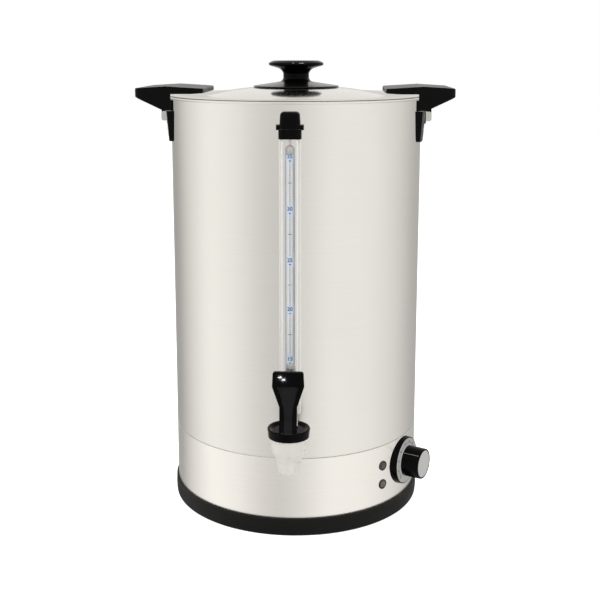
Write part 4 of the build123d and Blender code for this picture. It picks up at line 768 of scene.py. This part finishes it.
digits = mesh_piece("gauge_digits", [], [], blue_ink)
joined = bmesh.new()
for litres, height in LABELS:
    joined.from_mesh(wrapped(flat_text(str(litres), NUMBER_SIZE), height))
    joined.from_mesh(wrapped(flat_text("-", SIGN_SIZE), height - SIGN_DROP))
joined.to_mesh(digits.data)
joined.free()
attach(digits, "urn")

# ------------------------------------------------------------------ lid, steam shield and knob
# The lid is pressed stainless, polished on a wheel, so it carries faint rings about its middle and
# mirrors the knob's foot. The shield and the knob are glossy black phenolic.
RING_MM = 0.8                    # real polishing lines are finer, and wouldn't show
LID_HAZE = (18, 18, 18)          # cells to the metre, for duller patches 55 mm wide
lid_steel, tree, shader = new_material("wheel_polished_stainless_lid", "#DEDCD7", 0.13, metallic=1.0,
                                       Anisotropic=0.3)
centre = add(tree, "ShaderNodeSeparateXYZ", {"Vector": object_place(tree)})
flat = add(tree, "ShaderNodeCombineXYZ", {"X": centre.outputs["X"], "Y": centre.outputs["Y"]})
reach = add(tree, "ShaderNodeVectorMath", {0: flat.outputs[0]}, operation="LENGTH")
along = add(tree, "ShaderNodeMath", {0: reach.outputs["Value"], 1: MM / RING_MM}, operation="MULTIPLY")
rings = add(tree, "ShaderNodeTexNoise", {"W": along.outputs[0], "Scale": 1.0, "Detail": 3.0},
            noise_dimensions="1D")
haze = add(tree, "ShaderNodeTexNoise", {"Vector": object_place(tree, LID_HAZE), "Scale": 1.0, "Detail": 3.0})
both = add(tree, "ShaderNodeMath", {0: rings.outputs["Fac"], 1: haze.outputs["Fac"]}, operation="MULTIPLY")
rough = add(tree, "ShaderNodeMapRange", {"Value": both.outputs[0], "From Min": 0.1, "From Max": 0.45,
                                         "To Min": 0.10, "To Max": 0.18})
link(tree, rough.outputs[0], shader, "Roughness")
relief = add(tree, "ShaderNodeBump", {"Strength": 0.1, "Distance": 0.00003, "Height": rings.outputs["Fac"]})
link(tree, relief.outputs["Normal"], shader, "Normal")
dress(lid_steel, "lid_shell")
dress(moulded("glossy_black_shield_phenolic", "#0A0A0A", 0.2, 1.2, 0.008, specular=0.2, worn="#1C1C1C"),
      "steam_shield")
dress(moulded("glossy_black_knob_phenolic", "#030303", 0.1, 1.5, 0.006, specular=0.06, worn="#121212"),
      "lid_knob")

# ------------------------------------------------------------------ clamp handles
# Each clamp is a compression-moulded black phenolic lever with a satin skin, hinged by a plated
# steel pin and bracket on a leg of the same moulding that is screwed to the tank.
CLAMP_PIECES = ("clamp_handle_right", "clamp_handle_left", "clamp_saddle_right", "clamp_saddle_left")
dress(moulded("satin_black_grip_phenolic", "#060606", 0.3, 0.5, 0.015, specular=0.07, worn="#141414"),
      *CLAMP_PIECES)
not_mirrored(*CLAMP_PIECES)

# Saddle screws: 5 mm cross-head screws through leg and tank, two to a leg, with nuts inside. The
# profile's heights run out from the tank's wall.
TANK_R = 0.163
TIP, HEAD_FOOT, HEAD_TOP = -0.009, 0.0031, 0.0054
SADDLE_HEAD_R, SADDLE_SHANK_R = 0.0046, 0.0025
low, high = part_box("saddle_screws")
screw = turned("screw", [(0, TIP), (0.0018, TIP), (SADDLE_SHANK_R, TIP + 0.0008), (SADDLE_SHANK_R, HEAD_FOOT),
                         (SADDLE_HEAD_R, HEAD_FOOT), (SADDLE_HEAD_R, 0.0038), (0.0040, 0.0048),
                         (0.0028, HEAD_TOP), (0, HEAD_TOP)])
cross_recess(screw, span=0.0048, wide=0.0012, deep=0.0014, top=HEAD_TOP)
screw.data.transform(Matrix.Rotation(math.radians(90), 4, "Y"))
saddle_heads = copies("saddle_screw_heads", screw, nickel, count=4, in_group=2, radius=TANK_R,
                      first_angle=-13, angle_step=26, angle_gap=180,
                      first_height=(low.z + high.z) / 2)
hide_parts("saddle_screws")
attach(saddle_heads, "urn")

# ------------------------------------------------------------------ studio
# A white sweep: the floor keeps the urn's soft shadow, and metal sees an even room that is a little
# darker behind and straight ahead of it.
WHITE = linear("#FFFFFF")
paper = bpy.data.materials.new("white_paper_sweep")
paper.use_nodes = True
tree = paper.node_tree
tree.nodes.clear()
rays = add(tree, "ShaderNodeLightPath")
matt = add(tree, "ShaderNodeBsdfDiffuse", {"Color": linear("#F2F2F2")})
lift = add(tree, "ShaderNodeEmission", {"Color": WHITE, "Strength": 0.75})
seen = add(tree, "ShaderNodeAddShader", {0: matt.outputs[0], 1: lift.outputs[0]})
plain = add(tree, "ShaderNodeMixShader",
            {0: rays.outputs["Is Camera Ray"], 1: matt.outputs[0], 2: seen.outputs[0]})
clear = add(tree, "ShaderNodeBsdfTransparent")
mirrored = add(tree, "ShaderNodeMixShader",
               {0: rays.outputs["Is Glossy Ray"], 1: plain.outputs[0], 2: clear.outputs[0]})
add(tree, "ShaderNodeOutputMaterial", {"Surface": mirrored.outputs[0]})
floor = mesh_piece("floor", [(-6, -6, 0), (6, -6, 0), (6, 6, 0), (-6, 6, 0)], [[0, 1, 2, 3]], paper)

# The room's walls: how far round from behind, by way of the left and then the front, and how bright.
WALLS = ((0.0, 0.45), (0.115, 0.38), (0.18, 0.78), (0.262, 1.12), (0.35, 1.02), (0.425, 0.77),
         (0.465, 0.69), (0.52, 0.82), (0.59, 1.05), (0.70, 1.02), (0.80, 0.81), (0.89, 0.50), (1.0, 0.45))
CEILING, CEILING_AT = 0.95, 0.14    # how bright it is, and the slope at which the walls have become it


def room(level):
    """A wall's colour at this brightness, a little warm."""
    return [level, level * 0.985, level * 0.96, 1.0]


world = bpy.data.worlds.new("studio")
bpy.context.scene.world = world
world.use_nodes = True
tree = world.node_tree
tree.nodes.clear()
rays = add(tree, "ShaderNodeLightPath")
looking = add(tree, "ShaderNodeTexCoord").outputs["Generated"]
direction = add(tree, "ShaderNodeSeparateXYZ", {"Vector": looking})
ahead = add(tree, "ShaderNodeMath", {0: direction.outputs["Y"], 1: -1.0}, operation="MULTIPLY")
bearing = add(tree, "ShaderNodeMath", {0: direction.outputs["X"], 1: ahead.outputs[0]}, operation="ARCTAN2")
around = add(tree, "ShaderNodeMapRange",
             {"Value": bearing.outputs[0], "From Min": -math.pi, "From Max": math.pi})
walls = add(tree, "ShaderNodeValToRGB", {"Fac": around.outputs[0]},
            stops=[(at, room(level)) for at, level in WALLS])
overhead = add(tree, "ShaderNodeMapRange", {"Value": direction.outputs["Z"], "From Max": CEILING_AT})
sky = add(tree, "ShaderNodeMix",
          {0: overhead.outputs[0], 6: walls.outputs["Color"], 7: room(CEILING)}, data_type="RGBA")
mirror_room = add(tree, "ShaderNodeBackground", {"Color": sky.outputs[2], "Strength": 1.0})
soft_room = add(tree, "ShaderNodeBackground", {"Color": WHITE, "Strength": 0.55})
white = add(tree, "ShaderNodeBackground", {"Color": WHITE, "Strength": 1.0})
lit = add(tree, "ShaderNodeMixShader",
          {0: rays.outputs["Is Glossy Ray"], 1: soft_room.outputs[0], 2: mirror_room.outputs[0]})
see = add(tree, "ShaderNodeMath",
          {0: rays.outputs["Is Camera Ray"], 1: rays.outputs["Is Transmission Ray"]}, operation="MAXIMUM")
backdrop = add(tree, "ShaderNodeMixShader", {0: see.outputs[0], 1: lit.outputs[0], 2: white.outputs[0]})
add(tree, "ShaderNodeOutputWorld", {"Surface": backdrop.outputs[0]})


def soft_box(name, place, aim, width, height, power, mirrored_too):
    """A studio panel; one that metal shouldn't mirror lights only the matt surfaces."""
    lamp = bpy.data.lights.new(name, "AREA")
    lamp.shape = "RECTANGLE"
    lamp.size = width
    lamp.size_y = height
    lamp.energy = power
    holder = in_scene(name, lamp)
    holder.location = place
    holder.rotation_euler = (Vector(aim) - Vector(place)).to_track_quat("-Z", "Y").to_euler()
    holder.visible_glossy = mirrored_too
    holder.visible_camera = False
    return holder


soft_box("key_panel", (-1.3, -1.4, 1.5), (0, 0, 0.25), 1.2, 1.2, 16, False)
soft_box("fill_panel", (1.5, -1.1, 1.1), (0, 0, 0.25), 1.2, 1.2, 10, False)
soft_box("top_panel", (0, 0.2, 2.2), (0, 0, 0), 1.6, 1.6, 18, False)

# Small lamps put their glints on the glossy lever and on the lid knob's rim, and light nothing else.
# Each has its place, its aim, its width and height, and its power.
LEVER_GLINTS = (((-0.0258, -0.5199, 0.1746), (-0.0093, -0.2247, 0.2259), 0.0050, 0.0013, 0.012),
                ((-0.0208, -0.5201, 0.1711), (-0.0052, -0.2249, 0.2230), 0.0044, 0.0016, 0.012))
KNOB_GLINTS = (((-0.075, -0.335, 1.000), (-0.003, -0.035, 0.580), 0.05, 0.12, 3.5),
               ((0.170, -0.280, 1.000), (0.011, -0.034, 0.580), 0.15, 0.12, 10.0))
for name, glints in (("tap_lever", LEVER_GLINTS), ("lid_knob", KNOB_GLINTS)):
    receivers = bpy.data.collections.new("glints_on_" + name)
    receivers.objects.link(nodes[name])
    for place, aim, width, height, power in glints:
        panel = soft_box("glint_panel", place, aim, width, height, power, True)
        panel.light_linking.receiver_collection = receivers

view = bpy.data.cameras.new("camera")
view.lens = 62.08
view.sensor_width = 36.0
view.shift_x = 0.00642
view.shift_y = -0.1
camera = in_scene("camera", view)
camera.location = (0.0571, -1.3682, 0.5956)
camera.rotation_euler = (math.radians(90 - 10.33), 0, math.radians(2.39))
bpy.context.scene.camera = camera
bpy.context.scene.view_settings.view_transform = "Standard"
